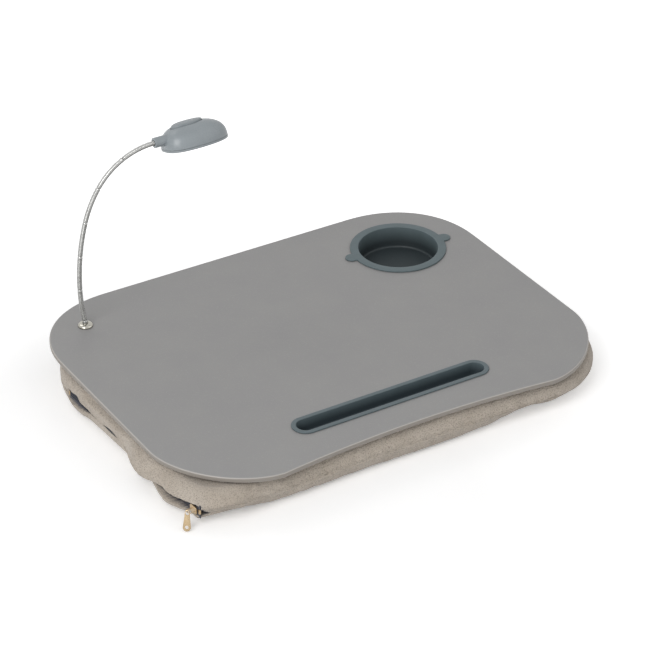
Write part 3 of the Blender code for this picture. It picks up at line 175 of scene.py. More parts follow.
# Battery cover, light and screws
BATTERY_FROM_REAR = 0.024
COVER_RADIUS = 0.0122
COVER_DISC = 0.0016
COVER_RECESS = 0.0001
COVER_EDGE_ROUND = 0.0004
CELL_RADIUS = 0.0100
CELL_THICKNESS = 0.0032
TUBE_WALL = 0.0015
TUBE_HEIGHT = 0.0095
COIN_SLOT_LENGTH = 0.013
COIN_SLOT_WIDTH = 0.0016
COIN_SLOT_DEPTH = 0.0008
LIGHT_FROM_REAR = 0.051
LENS_RADIUS = 0.0082
LENS_THICKNESS = 0.0014
LENS_LIP = 0.0006
LENS_LIP_THICKNESS = 0.0006
LENS_EDGE_ROUND = 0.0003
LED_HEIGHT = 0.0014
LIGHT_RING_WALL = 0.0016
SCREW_FROM_REAR = 0.041
SCREW_OFFSET = 0.0115
SCREW_HEAD_RADIUS = 0.0021
SCREW_HEAD_HEIGHT = 0.0012
SCREW_SHANK_RADIUS = 0.0009
SCREW_LENGTH = 0.0080
SCREW_EDGE_ROUND = 0.0003
CROSS_LENGTH = 0.0026
CROSS_WIDTH = 0.0006
CROSS_DEPTH = 0.0007
BOSS_RADIUS = 0.0023
BOSS_TOP = 0.0042

# Zip along the left flank
ZIP_FRONT_INSET = 0.0110
ZIP_REAR_INSET = 0.0020
ZIP_FROM_FRONT = 0.014
ZIP_FROM_REAR = 0.096
CHAIN_HEIGHT = 0.0042
CHAIN_THICKNESS = 0.0018
TAPE_HEIGHT = 0.0042
TAPE_THICKNESS = 0.0007
STOP_LENGTH = 0.0025
STOP_EDGE_ROUND = 0.0003
TOOTH_PITCH = 0.0013
TOOTH_RADIUS = 0.00042
TOOTH_OVERLAP = 0.0004
SLIDER_LENGTH = 0.0095
SLIDER_HEIGHT = 0.0082
SLIDER_PLATE = 0.0015
SLIDER_LIP = 0.0009
SLIDER_WIDEST_SHARE = 0.75
SLIDER_EDGE_ROUND = 0.0004
BAIL_LENGTH = 0.0068
BAIL_NOSE = 0.0004
BAIL_REACH = 0.0062
BAIL_BAR = 0.0008
BAIL_BEND = 0.0012
PULL_LENGTH = 0.0166
PULL_TOP_HALF_WIDTH = 0.0023
PULL_END_HALF_WIDTH = 0.0035
PULL_THICKNESS = 0.0010
PULL_EDGE_ROUND = 0.0003
PULL_EYE_RADIUS = 0.0022
PULL_EYE_LENGTH = 0.0032
PULL_BAR = 0.0006
PULL_PLAY = 0.0006
PULL_HOLE_RADIUS = 0.0015
PULL_HEADING_DEG = -37.0
PULL_FLOOR_GAP = 0.0006

# Soft shape of the cushion
COLUMNS = 440
SEAM_ROW_OFFSETS = (0.0, 0.0004, 0.0010, 0.0018, 0.0028, 0.0038, 0.0048, 0.0058, 0.0070, 0.0084, 0.0098)
FLANK_ROWS = 9
PUFF_HEIGHT = 0.0022
PUFF_INSETS = (0.0, 0.004, 0.009, 0.014, 0.018, 0.022)
PUFF_SHARES = (0.0, 0.5, 1.0, 0.95, 0.5, 0.0)
CAP_SHARES = (0.8, 0.6, 0.4, 0.2)
CLOTH_FRAMES = 10
CLOTH_QUALITY = 3
CLOTH_PRESSURE = 5.0
CLOTH_SHRINK = -0.02
MOST_SWELL = 0.0015
SEAM_PINCH = 0.0006
SEAM_PINCH_WIDTH = 0.0008
POCKET_ROOM = 0.0006
NUT_DIP_RADIUS = 0.0085
NUT_DIP_FADE = 0.010
NUT_DIP_FLOOR = 0.0277
LIP_ROUND = 0.0013
GROOVE_DEPTH = 0.0016
TAPE_COVER = 0.0014
TAPE_EDGE_SHARES = (0.20, 0.60)
TAPE_COVER_HEIGHT = 0.0068
ZIP_END_FADE = 0.004
SEAM_BLEND = 0.0015
RIPPLE_HEIGHT = 0.0002
RIPPLE_SIZE = 0.016
RIPPLE_FULL_SHARE = 0.3
TUFT_HEIGHT = 0.00012
TUFT_SIZE = 0.0045
WAVE_SIDE_SHARES = (0.2, 0.8)

# Side waves: place along the side, half length, and push outwards, lower skin then upper skin
LEFT_WAVES = (
    (-0.072, 0.028, 0.0000, 0.0092),
    (-0.110, 0.022, 0.0034, 0.0000),
    (0.046, 0.014, 0.0022, 0.0012),
)

# Where the lower skin is drawn in under the cushion: degrees round it, half width in degrees, depth
TUCKS = (
    (-140.5, 8.0, 0.0145),
    (-49.0, 13.0, 0.0115),
    (-70.0, 18.0, 0.0010),
)
TUCK_ALL_ROUND = 0.0002
TUCK_POWER_SHARE = 0.8

# Where the seam rises at the corner by the zip: degrees round the cushion, half width, height
SEAM_LIFT_DEG = -139.5
SEAM_LIFT_WIDTH_DEG = 5.0
SEAM_LIFT = 0.0045

# The zip's mouth: place along the side, rise of its lower and of its upper lip over the chain's middle
MOUTH = (
    (-0.139, -0.0043, 0.0043),
    (-0.128, -0.0020, 0.0030),
    (-0.110, -0.0006, 0.0022),
    (-0.097, -0.0012, 0.0004),
    (-0.087, -0.0028, -0.0020),
    (-0.078, -0.0040, -0.0036),
    (-0.066, -0.0056, -0.0038),
    (-0.056, -0.0034, -0.0040),
    (-0.030, -0.0009, -0.0024),
    (-0.024, 0.0000, -0.0014),
    (-0.008, -0.0010, 0.0004),
    (0.008, 0.0000, -0.0014),
    (0.023, -0.0004, -0.0014),
    (0.040, -0.0026, 0.0010),
    (0.050, -0.0043, 0.0043),
)

# Half outline of the slider's plate: share of its length, share of half its height
SLIDER_PLAN_SHARES = (
    (0.0, 0.576),
    (0.06, 0.72),
    (0.65, 0.97),
    (0.75, 1.0),
    (0.85, 0.93),
    (0.95, 0.756),
    (1.0, 0.612),
)

# Stitches of the seam
STITCH_PITCH = 0.0042
STITCH_LENGTH = 0.0030
STITCH_RADIUS = 0.00035
STITCH_RISE = 0.0019
STITCH_LIFT = 0.0001

# Fineness of round stretches, in points
CORNER_STEPS = 40
SIDE_STEPS = 20
RIM_STEPS = 5
FINE_RIM_STEPS = 3
ROUND_STEPS = 128
SMALL_STEPS = 48
TINY_STEPS = 24
TRAY_END_STEPS = 36
COIN_SLOT_END_STEPS = 12
COIN_SLOT_RIM_STEPS = 2
EGG_STEPS = 64
BOARD_STEPS = 384
CUP_STEPS = 512
BUTTON_STEPS = 64
BUTTON_ROWS = 10
NECK_PATH_STEPS = 24
TAPE_STEPS = 60
BEND_STEPS = 8
BAIL_SIDES = 12
WIRE_SIDES = 6
CORE_SIDES = 20
BALL_FACES = (24, 12)
STRAND_FACES = (8, 6)

# Angle between faces above which an edge stays sharp
SHARP_DEG = 38.0
SHARP_LAMP_DEG = 30.0
SHARP_BUTTON_DEG = 40.0
SHARP_NECK_DEG = 60.0
SHARP_FLEECE_DEG = 70.0
FLAT_FACE_SHARE = 0.999

# Camera, from the photograph's perspective
CAMERA_PLACE = (-1.11809, -1.84316, 1.37813)
CAMERA_AZIMUTH_DEG = -31.2728
CAMERA_ELEVATION_DEG = 31.5907
CAMERA_ROLL_DEG = -0.1273
CAMERA_LENS_MM = 156.193
SENSOR_MM = 36.0
CLIP_START = 0.01
CLIP_END = 60.0

# Studio: place, width and watts of each soft lamp, and the ground
LAMPS = (
    ("key", (-1.7, -1.0, 1.6), 1.4, 30.0),
    ("fill", (1.4, -1.1, 1.5), 1.8, 5.0),
    ("back", (-0.5, 1.6, 1.9), 0.9, 4.0),
)
AMBIENT_LEVEL = 0.42
FLOOR_GLOW = (0.25, 0.62)
FLOOR_GLOW_REACH = (0.28, 0.68)
FLOOR_SHADOW_MIDDLE = (-0.25, -0.15, 0.0)
FLOOR_HALF_WIDTH = 4.0
FLOOR_DROP = 0.0002

# Heights, places and frames worked out from the sizes
BOARD_BOTTOM = CUSHION_HEIGHT + STRIP_SPACE
BOARD_TOP = BOARD_BOTTOM + BOARD_THICKNESS
SEAT = BOARD_TOP + SEAT_GAP
CUSHION_HALF_WIDTH = BOARD_WIDTH / 2 + CUSHION_SIDE_OVERHANG
CUSHION_FRONT = BOARD_DEPTH / 2 - CUSHION_FRONT_INSET
CUSHION_REAR = BOARD_DEPTH / 2 - CUSHION_REAR_INSET
CUP_X = BOARD_WIDTH / 2 - CUP_FROM_SIDE
CUP_Y = BOARD_DEPTH / 2 - CUP_FROM_REAR
TRAY_Y = TRAY_FROM_FRONT - BOARD_DEPTH / 2
LAMP_X = LAMP_FROM_SIDE - BOARD_WIDTH / 2
LAMP_Y = BOARD_DEPTH / 2 - LAMP_FROM_REAR
NECK_PART = NECK_LENGTH / len(NECK_BENDS_DEG)
FIRST_PIVOT = BOARD_TOP + FIRST_PIVOT_RISE
HEAD_UNDERSIDE = -HEAD_AXIS_HEIGHT
TUBE_TOP = HEAD_UNDERSIDE + TUBE_HEIGHT
CUP_FRAME = Matrix.Translation((CUP_X, CUP_Y, 0)) @ Matrix.Rotation(math.radians(EAR_TURN_DEG), 4, "Z")
TRAY_FRAME = Matrix.Translation((0, TRAY_Y, 0))
LAMP_FRAME = Matrix.Translation((LAMP_X, LAMP_Y, 0))

# Turns a plan that lies flat into one that stands in the cushion's flank, its height outwards
FLANK_PLANE = Matrix(((0, 0, 1, 0), (1, 0, 0, 0), (0, 1, 0, 0), (0, 0, 0, 1)))

# Name of the cushion's own attribute: where the zip's tape lines the mouth
TAPE_SHARE_NAME = "tape_share"

# Values between which a noise texture is spread over a finish's full range
NOISE_LOW_SHARE = 0.3
NOISE_HIGH_SHARE = 0.7

# Sockets given by number, because their names repeat: a colour mix, and the ends of a trimmed curve
MIX_SHARE = 0
MIX_FIRST = 6
MIX_SECOND = 7
MIX_RESULT = 2
TRIM_START = 4
TRIM_END = 5


def linear_colour(text):
    """An sRGB hex colour as linear red, green, blue and full opacity."""
    channels = []
    for start in (1, 3, 5):
        share = int(text[start:start + 2], 16) / 255
        channels.append(share / 12.92 if share <= 0.04045 else ((share + 0.055) / 1.055) ** 2.4)
    return (*channels, 1.0)


def add(tree, kind, inputs=None, out=0, **settings):
    """Add a node with its settings, fill its sockets with values, colours or links, and give an output."""
    made = tree.nodes.new(kind)
    for name, value in settings.items():
        setattr(made, name, value)
    for name, value in (inputs or {}).items():
        socket = made.inputs[name]
        if isinstance(value, (list, bpy.types.NodeSocket)):
            for source in value if isinstance(value, list) else [value]:
                tree.links.new(source, socket)
        else:
            socket.default_value = linear_colour(value) if isinstance(value, str) else value
    return made.outputs[out] if made.outputs else None


def surface(name, colours, mottle, grain, depth, roughness, spread=0.04, **sockets):
    """A finish with broad mottle between two colours and a fine grain that lifts the surface."""
    material = bpy.data.materials.new(name)
    material.use_nodes = True
    tree = material.node_tree
    shader = tree.nodes["Principled BSDF"]
    for label, value in sockets.items():
        shader.inputs[label.replace("_", " ")].default_value = value
    place = add(tree, "ShaderNodeTexCoord", out="Object")
    broad = {"Vector": place, "Scale": 1 / mottle, "Detail": 3.0}
    broad = add(tree, "ShaderNodeTexNoise", broad, "Fac")
    fine = {"Vector": place, "Scale": 1 / grain, "Detail": 2.0}
    fine = add(tree, "ShaderNodeTexNoise", fine, "Fac")
    limits = {"From Min": NOISE_LOW_SHARE, "From Max": NOISE_HIGH_SHARE}
    share = add(tree, "ShaderNodeMapRange", {"Value": broad, **limits})
    mix = {MIX_SHARE: share, MIX_FIRST: colours[0], MIX_SECOND: colours[1]}
    gloss = {"Value": fine, "To Min": roughness - spread, "To Max": roughness + spread, **limits}
    parts = {
        "Base Color": add(tree, "ShaderNodeMix", mix, MIX_RESULT, data_type="RGBA"),
        "Roughness": add(tree, "ShaderNodeMapRange", gloss),
        "Normal": add(tree, "ShaderNodeBump", {"Height": fine, "Distance": depth}),
    }
    for label, source in parts.items():
        tree.links.new(source, shader.inputs[label])
    parts.update({"place": place, "shader": shader})
    return material, tree, parts


def lay(tree, parts, value, levels, colour, most=1.0):
    """Lay another colour over a finish, more and more as a value goes from one level to the other."""
    mask = {"Value": value, "From Min": levels[0], "From Max": levels[1], "To Max": most}
    mask = add(tree, "ShaderNodeMapRange", mask)
    mix = {MIX_SHARE: mask, MIX_FIRST: parts["Base Color"], MIX_SECOND: colour}
    parts["Base Color"] = add(tree, "ShaderNodeMix", mix, MIX_RESULT, data_type="RGBA")
    tree.links.new(parts["Base Color"], parts["shader"].inputs["Base Color"])


def melamine_board():
    """Melamine paper pressed on fibreboard: an even matt grey with faint specks, with a painted highlight on
    its band's rounded rim and painted shade on the band's upright face.
    """
    material, tree, parts = surface(
        "melamine_grey", ("#959494", "#989796"), mottle=0.040, grain=0.0007, depth=0.00001,
        roughness=0.46, Specular_IOR_Level=0.4)
    speck = 0.0011
    specks = {"Vector": parts["place"], "Scale": 1 / speck, "Detail": 1.0}
    specks = add(tree, "ShaderNodeTexNoise", specks, "Fac")
    lay(tree, parts, specks, (0.60, 0.72), "#a8a6a3", 0.35)
    # Painted highlight where the band rounds over and painted shade on its upright face, both laid by how far
    # the face turns from level
    normal = add(tree, "ShaderNodeNewGeometry", out="Normal")
    up = add(tree, "ShaderNodeSeparateXYZ", {"Vector": normal}, "Z")
    level = add(tree, "ShaderNodeMath", {0: up}, operation="ABSOLUTE")
    lay(tree, parts, level, (0.98, 0.80), "#b6b2ad")
    lay(tree, parts, level, (0.55, 0.30), "#938d86")
    return material


def polar_fleece():
    """Brushed polyester fleece: a short matt pile whose tufts catch light and leave dark flecks.

    Inside the zip's mouth it turns to the dark tape that is sewn to both lips.
    """
    material, tree, parts = surface(
        "polar_fleece_stone", ("#b8ada0", "#c3b9ad"), mottle=0.025, grain=0.0014, depth=0.0011,
        roughness=0.93, spread=0.03, Sheen_Weight=0.25, Sheen_Roughness=0.55, Specular_IOR_Level=0.2)
    fleck = 0.0010
    flecks = {"Vector": parts["place"], "Scale": 1 / fleck, "Detail": 3.0}
    flecks = add(tree, "ShaderNodeTexNoise", flecks, "Fac")
    lay(tree, parts, flecks, (0.50, 0.36), "#857b6f", 0.65)
    tape = add(tree, "ShaderNodeAttribute", out="Fac", attribute_name=TAPE_SHARE_NAME)
    lay(tree, parts, tape, (0.0, 1.0), "#3b3e4a")
    return material


def woven_tape(name, colours, rib):
    """Polyester tape woven in ribs: fine cross lines with a soft thread sheen."""
    material, tree, parts = surface(
        name, colours, mottle=0.012, grain=0.0004, depth=0.00005, roughness=0.78, spread=0.05,
        Sheen_Weight=0.2, Sheen_Roughness=0.4)
    weave = {"Vector": parts["place"], "Scale": 1 / rib, "Distortion": 0.4, "Detail": 1.0}
    weave = add(tree, "ShaderNodeTexWave", weave, "Fac", bands_direction="Y")
    rib_depth = 0.00012
    lift = {"Height": weave, "Distance": rib_depth, "Normal": parts["Normal"]}
    tree.links.new(add(tree, "ShaderNodeBump", lift), parts["shader"].inputs["Normal"])
    lay(tree, parts, weave, (1.0, 0.0), "#1d1f27", 0.28)
    return material


def brushed_metal(name, colours, roughness, streak):
    """A plated or drawn metal: bright, with fine streaks that blur its reflections."""
    return surface(
        name, colours, mottle=0.008, grain=streak, depth=0.000004, roughness=roughness, spread=0.05,
        Metallic=1.0)[0]


def moulded_plastic(name, colours, roughness, grit, depth, **sockets):
    """Moulded plastic or rubber: an even colour with the fine spark-worn texture of its mould."""
    return surface(name, colours, 0.018, grit, depth, roughness, spread=0.05, **sockets)[0]


def hollow_ware(name, colours, dark, fade, roughness, **sockets):
    """Moulded ware that darkens towards its floor, where little light reaches."""
    material, tree, parts = surface(
        name, colours, mottle=0.018, grain=0.0006, depth=0.00002, roughness=roughness, spread=0.05, **sockets)
    height = add(tree, "ShaderNodeSeparateXYZ", {"Vector": parts["place"]}, "Z")
    lay(tree, parts, height, (BOARD_TOP, BOARD_TOP - fade), dark)
    return material


def circuit_board():
    """Glass-fibre board under green lacquer: a faint weave and paler tracks."""
    material, tree, parts = surface(
        "fr4_green_lacquer", ("#2b6640", "#31704a"), mottle=0.004, grain=0.0005, depth=0.00002,
        roughness=0.42)
    track = 0.0026
    tracks = {"Vector": parts["place"], "Scale": 1 / track, "Distortion": 3.0, "Detail": 1.0}
    tracks = add(tree, "ShaderNodeTexWave", tracks, "Fac")
    lay(tree, parts, tracks, (0.80, 0.86), "#58946a", 0.6)
    return material


def hook_tape():
    """Nylon hook and loop tape: a dark mat of tiny loops, drawn a little coarser than real ones."""
    return surface(
        "nylon_hook_tape", ("#343436", "#424244"), mottle=0.006, grain=0.0011, depth=0.0006,
        roughness=0.88, Sheen_Weight=0.3)[0]


def make_materials():
    """Every finish of the object, by the name of its slot in the record."""
    return {
        "board_laminate": melamine_board(),
        "fleece": polar_fleece(),
        "bag_ticking": woven_tape("cotton_ticking", ("#e2ded5", "#eae6de"), rib=0.0012),
        "holder_rubber": hollow_ware(
            "silicone_rubber_slate", ("#5b686b", "#616e72"), "#2c3437", fade=0.014, roughness=0.52,
            Specular_IOR_Level=0.4),
        "tray_rubber": hollow_ware(
            "abs_matt_slate", ("#536064", "#5a676c"), "#333d42", fade=0.007, roughness=0.44),
        "hook_tape": hook_tape(),
        "bright_nickel": brushed_metal("nickel_plate", ("#aeaba2", "#bab7ae"), 0.12, streak=0.0009),
        "neck_steel": brushed_metal("chromed_steel_wire", ("#a6a6a4", "#b4b4b2"), 0.22, streak=0.0008),
        "lamp_plastic": moulded_plastic(
            "abs_satin_grey", ("#8f969a", "#959ca0"), roughness=0.30, grit=0.0005, depth=0.00001),
        "button_plastic": moulded_plastic(
            "abs_satin_button_grey", ("#868d91", "#8c9397"), roughness=0.38, grit=0.0005, depth=0.00001),
        "clear_plastic": moulded_plastic(
            "polycarbonate_frosted", ("#e6ebee", "#f0f4f6"), roughness=0.20, grit=0.0007, depth=0.00003,
            Transmission_Weight=0.85, IOR=1.585),
        "circuit_green": circuit_board(),
        "led_white": moulded_plastic(
            "led_phosphor", ("#efeab8", "#f3f0cf"), roughness=0.34, grit=0.0004, depth=0.00001,
            Coat_Weight=0.5),
        "cell_steel": brushed_metal("stainless_steel_can", ("#bfc1c3", "#cbcdcf"), 0.26, streak=0.0006),
        "switch_black": moulded_plastic(
            "nylon_black", ("#242629", "#2a2c2f"), roughness=0.46, grit=0.0004, depth=0.00002),
        "zip_tape": woven_tape("polyester_zip_tape", ("#373a47", "#3f4250"), rib=0.0011),
        "zip_teeth": moulded_plastic(
            "nylon_coil_navy", ("#2e303a", "#363843"), roughness=0.36, grit=0.0004, depth=0.00001),
        "brass": brushed_metal("brass_satin_lacquer", ("#b39d7c", "#c2ad8d"), 0.30, streak=0.0007),
    }


def link_piece(name, data):
    """Put a mesh, a light or a camera in the scene as an object at the origin."""
    piece = bpy.data.objects.new(name, data)
    bpy.context.collection.objects.link(piece)
    return piece


def put(name, shape, place=None):
    """Put a shape in the scene as a piece whose points lie where it belongs, faces outwards."""
    if place is not None:
        shape.transform(place)
    bmesh.ops.remove_doubles(shape, verts=shape.verts, dist=MERGE_DISTANCE)
    bmesh.ops.recalc_face_normals(shape, faces=shape.faces)
    mesh = bpy.data.meshes.new(name)
    shape.to_mesh(mesh)
    shape.free()
    return link_piece(name, mesh)


def bake(piece):
    """Turn a piece with its modifiers into a plain mesh."""
    bpy.context.view_layer.update()
    depsgraph = bpy.context.evaluated_depsgraph_get()
    mesh = bpy.data.meshes.new_from_object(piece.evaluated_get(depsgraph))
    piece.modifiers.clear()
    old = piece.data
    piece.data = mesh
    bpy.data.meshes.remove(old)
    return piece


def carve(piece, *steps):
    """Cut shapes from a piece or add them to it, in order."""
    others = []
    for operation, shape, place in steps:
        other = put(operation, shape, place)
        change = piece.modifiers.new(operation, "BOOLEAN")
        change.object = other
        change.operation = operation
        change.solver = "EXACT"
        others.append(other)
    bake(piece)
    for other in others:
        bpy.data.objects.remove(other, do_unlink=True)


def dress(piece, finish, body, replaced=(), sharp_deg=SHARP_DEG):
    """Give a piece its finish, smooth faces, the body it moves with and the solids it stands for."""
    mesh = piece.data
    mesh.materials.clear()
    mesh.materials.append(MATERIALS[finish])
    mesh.shade_smooth()
    mesh.set_sharp_from_angle(angle=math.radians(sharp_deg))
    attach(piece, body)
    if replaced:
        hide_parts(*replaced)


def once_round(steps):
    """Even angles over a full turn, without the last."""
    return [2 * math.pi * i / steps for i in range(steps)]


def quarter_turn(steps):
    """Even angles over a quarter turn, with both ends."""
    return [math.pi / 2 * i / steps for i in range(steps + 1)]


def loft(rings):
    """Bridge rings of equal length, with flat caps."""
    shape = bmesh.new()
    rows = [[shape.verts.new(point) for point in ring] for ring in rings]
    count = len(rows[0])
    for lower, upper in zip(rows, rows[1:]):
        for i in range(count):
            j = (i + 1) % count
            shape.faces.new((lower[i], lower[j], upper[j], upper[i]))
    shape.faces.new(list(reversed(rows[0])))
    shape.faces.new(rows[-1])
    return shape


def turned(profile, steps=SMALL_STEPS):
    """Turn a profile of (radius, height) points; a zero radius closes the shape on the axis."""
    shape = bmesh.new()
    rows = []
    for radius, height in profile:
        if radius == 0:
            rows.append([shape.verts.new((0, 0, height))])
            continue
        angles = once_round(steps)
        rows.append([shape.verts.new((radius * math.cos(a), radius * math.sin(a), height)) for a in angles])
    pairs = list(zip(rows, rows[1:]))
    if profile[0][0] != 0:
        pairs.append((rows[-1], rows[0]))
    for first, second in pairs:
        for i in range(steps):
            j = (i + 1) % steps
            corners = [first[i % len(first)], first[j % len(first)]]
            corners += [second[j % len(second)], second[i % len(second)]]
            unique = list(dict.fromkeys(corners))
            if len(unique) > 2:
                shape.faces.new(unique)
    return shape


def cylinder(radius, bottom, top, steps=SMALL_STEPS):
    """A plain round bar, used only to cut or to join."""
    return turned([(0, bottom), (radius, bottom), (radius, top), (0, top)], steps)


def prism(outline, bottom, top):
    """A straight extrusion of a flat outline, used only to cut or to join."""
    return loft([[(x, y, z) for x, y in outline] for z in (bottom, top)])


def block(low, high):
    """A box between two opposite corners, used only to cut or to join."""
    corners = [(low[0], low[1]), (high[0], low[1]), (high[0], high[1]), (low[0], high[1])]
    return prism(corners, low[2], high[2])


def inset_loop(outline, distance):
    """Move a counter-clockwise outline inwards, square to its own edges."""
    moved = []
    count = len(outline)
    for i, (x, y) in enumerate(outline):
        before = Vector(outline[i - 1])
        here = Vector((x, y))
        after = Vector(outline[(i + 1) % count])
        first = (here - before).normalized()
        second = (after - here).normalized()
        normals = [Vector((-edge.y, edge.x)) for edge in (first, second)]
        middle = (normals[0] + normals[1]).normalized()
        moved.append(tuple(here + middle * distance / middle.dot(normals[0])))
    return moved


def stack(outline, levels):
    """Rings of an outline, each at its own height and moved inwards by its own inset."""
    return [[(x, y, height) for x, y in inset_loop(outline, inset)] for inset, height in levels]


def rounding(edge, steps=RIM_STEPS):
    """Inset and drop of each point of a quarter-round rim, from the flat face to the side."""
    return [(edge * (1 - math.sin(a)), edge * (1 - math.cos(a))) for a in quarter_turn(steps)]


def rounded_slab(outline, bottom, top, edge, steps=RIM_STEPS):
    """A plate whose upper and lower rims are rounded."""
    levels = [(inset, bottom + drop) for inset, drop in rounding(edge, steps)]
    levels += [(inset, top - drop) for inset, drop in reversed(rounding(edge, steps))]
    return loft(stack(outline, levels))


def corner_curve(centre, reach, power, start_deg, steps):
    """A quarter of a superellipse, counter-clockwise from the start angle, without its last point."""
    points = []
    for i in range(steps):
        angle = math.radians(start_deg + 90 * i / steps)
        cos, sin = math.cos(angle), math.sin(angle)
        x = math.copysign(abs(cos) ** (2 / power), cos) * reach[0]
        y = math.copysign(abs(sin) ** (2 / power), sin) * reach[1]
        points.append((centre[0] + x, centre[1] + y))
    return points


def even_loop(outline, count):
    """Points at even distances round a closed outline, starting at its first point."""
    points = [Vector(point) for point in outline]
    points.append(points[0])
    lengths = [0.0]
    for a, b in zip(points, points[1:]):
        lengths.append(lengths[-1] + (b - a).length)
    even = []
    k = 0
    for i in range(count):
        want = lengths[-1] * i / count
        while lengths[k + 1] < want:
            k += 1
        span = lengths[k + 1] - lengths[k]
        share = (want - lengths[k]) / span if span > 0 else 0
        even.append(tuple(points[k].lerp(points[k + 1], share)))
    return even


def half_circle(centre, radius, start_deg, steps):
    """Half a circle, counter-clockwise from the start angle, with both ends."""
    angles = [math.radians(start_deg + 180 * i / steps) for i in range(steps + 1)]
    return [(centre[0] + radius * math.cos(a), centre[1] + radius * math.sin(a)) for a in angles]


def stadium(length, width, steps=TRAY_END_STEPS):
    """A slot outline with round ends, counter-clockwise about the origin."""
    radius = width / 2
    far = length / 2 - radius
    return half_circle((far, 0), radius, -90, steps) + half_circle((-far, 0), radius, 90, steps)


def oval(half_length, half_width, steps=SMALL_STEPS):
    """An oval outline about the origin."""
    return [(half_length * math.cos(a), half_width * math.sin(a)) for a in once_round(steps)]


def board_outline():
    """The board's plan: large corners and a front edge that dips in at the sitter's waist."""
    half_width, half_depth = BOARD_WIDTH / 2, BOARD_DEPTH / 2
    bulge = half_width - FRONT_CORNER_WIDTH
    front_steps = 3 * SIDE_STEPS
    points = []
    for i in range(front_steps):
        x = bulge * (2 * i / front_steps - 1)
        points.append((x, -half_depth + FRONT_DIP * (1 - (x / bulge) ** 2)))
    front = -half_depth + FRONT_CORNER_DEPTH
    rear = half_depth - REAR_CORNER_DEPTH
    rear_bulge = half_width - REAR_CORNER_WIDTH
    corners = (
        (bulge, front, -90, FRONT_CORNER_POWER_SHARE),
        (rear_bulge, rear, 0, REAR_CORNER_POWER_SHARE),
        (-rear_bulge, rear, 90, REAR_CORNER_POWER_SHARE),
        (-bulge, front, 180, FRONT_CORNER_POWER_SHARE),
    )
    for x, y, start, power in corners:
        reach = (half_width - abs(x), half_depth - abs(y))
        points += corner_curve((x, y), reach, power, start, CORNER_STEPS)
        end = math.radians(start + 90)
        points.append((x + reach[0] * round(math.cos(end)), y + reach[1] * round(math.sin(end))))
    return points[:-1]


def make_board():
    """The thin board with its rounded band and three holes."""
    outline = even_loop(board_outline(), BOARD_STEPS)
    piece = put("board", rounded_slab(outline, BOARD_BOTTOM, BOARD_TOP, BOARD_EDGE_ROUND))
    low, high = BOARD_BOTTOM - OVERRUN, BOARD_TOP + OVERRUN
    hole = CUP_INNER_RADIUS + CUP_WALL + RUN_GAP
    slot = inset_loop(stadium(TRAY_LENGTH, TRAY_WIDTH), TRAY_FLANGE_WIDTH - TRAY_WALL - RUN_GAP)
    carve(
        piece,
        ("DIFFERENCE", cylinder(hole, low, high, ROUND_STEPS), CUP_FRAME),
        ("DIFFERENCE", prism(slot, low, high), TRAY_FRAME),
        ("DIFFERENCE", cylinder(STUD_RADIUS + SEAT_GAP, low, high), LAMP_FRAME),
    )
    dress(piece, "board_laminate", "desk", ["desk_board"])
    for face in piece.data.polygons:
        if abs(face.normal.z) > FLAT_FACE_SHARE:
            face.use_smooth = False


def drawn_side(start, end):
    """A side from one corner to the next, pulled in at its middle, without its last point."""
    along = Vector(end) - Vector(start)
    inward = Vector((-along.y, along.x)).normalized()
    points = []
    for i in range(SIDE_STEPS):
        share = i / SIDE_STEPS
        bow = inward * SIDE_DRAW_IN * 4 * share * (1 - share)
        points.append(tuple(Vector(start) + along * share + bow))
    return points


def cushion_outline():
    """The cushion's plan at its seam: sides pulled in between four unlike corners."""
    left, right = -CUSHION_HALF_WIDTH, CUSHION_HALF_WIDTH
    front, rear = -CUSHION_FRONT, CUSHION_REAR
    corners = (
        (right, front, -1, 1, FRONT_RIGHT_RADIUS, -90, 2),
        (right, rear, -1, -1, REAR_RIGHT_RADIUS, 0, 2),
        (left, rear, 1, -1, REAR_LEFT_RADIUS, 90, 2),
        (left, front, 1, 1, ZIP_CORNER_RADIUS, 180, ZIP_CORNER_POWER_SHARE),
    )
    arcs = []
    for x, y, side_x, side_y, radius, start, power in corners:
        centre = (x + side_x * radius, y + side_y * radius)
        arc = corner_curve(centre, (radius, radius), power, start, CORNER_STEPS)
        end = math.radians(start + 90)
        arc.append((centre[0] + radius * math.cos(end), centre[1] + radius * math.sin(end)))
        arcs.append(arc)
    points = []
    for i, arc in enumerate(arcs):
        points += arc[:-1]
        points += drawn_side(arc[-1], arcs[(i + 1) % len(arcs)][0])
    return even_loop(points, COLUMNS)


def shoulder_inset(height_share):
    """How far in the cushion's skin lies at a share of its half height."""
    power = SHOULDER_POWER_SHARE
    return SHOULDER_REACH * (1 - (1 - height_share ** power) ** (1 / power))


def smooth_share(value, low, high):
    """How far a value has come from low to high, eased at both ends."""
    share = min(max((value - low) / (high - low), 0), 1)
    return share * share * (3 - 2 * share)


def within(value, low, high, fade):
    """One between two places, fading to zero just outside them."""
    return smooth_share(value, low - fade, low) * (1 - smooth_share(value, high, high + fade))


def between(value, places, levels):
    """A level read from a short chart by straight lines."""
    for i in range(len(places) - 1):
        if value <= places[i + 1]:
            share = (value - places[i]) / (places[i + 1] - places[i])
            return levels[i] + (levels[i + 1] - levels[i]) * min(max(share, 0), 1)
    return levels[-1]


def mouth(along):
    """How high the zip's lower and upper lip lie at a place along the side, eased between places."""
    if along <= MOUTH[0][0]:
        return MOUTH[0][1:]
    for before, after in zip(MOUTH, MOUTH[1:]):
        if along <= after[0]:
            share = smooth_share(along, before[0], after[0])
            return [low + (high - low) * share for low, high in zip(before[1:], after[1:])]
    return MOUTH[-1][1:]


def flank_levels(rise):
    """Heights from the seam to the crown, close together near the seam, as shares of the rise."""
    shares = [offset / rise for offset in SEAM_ROW_OFFSETS if offset < rise]
    last = shares[-1]
    return shares + [min(last + (1 - last) * math.sin(a), 1) for a in quarter_turn(FLANK_ROWS)[1:]]


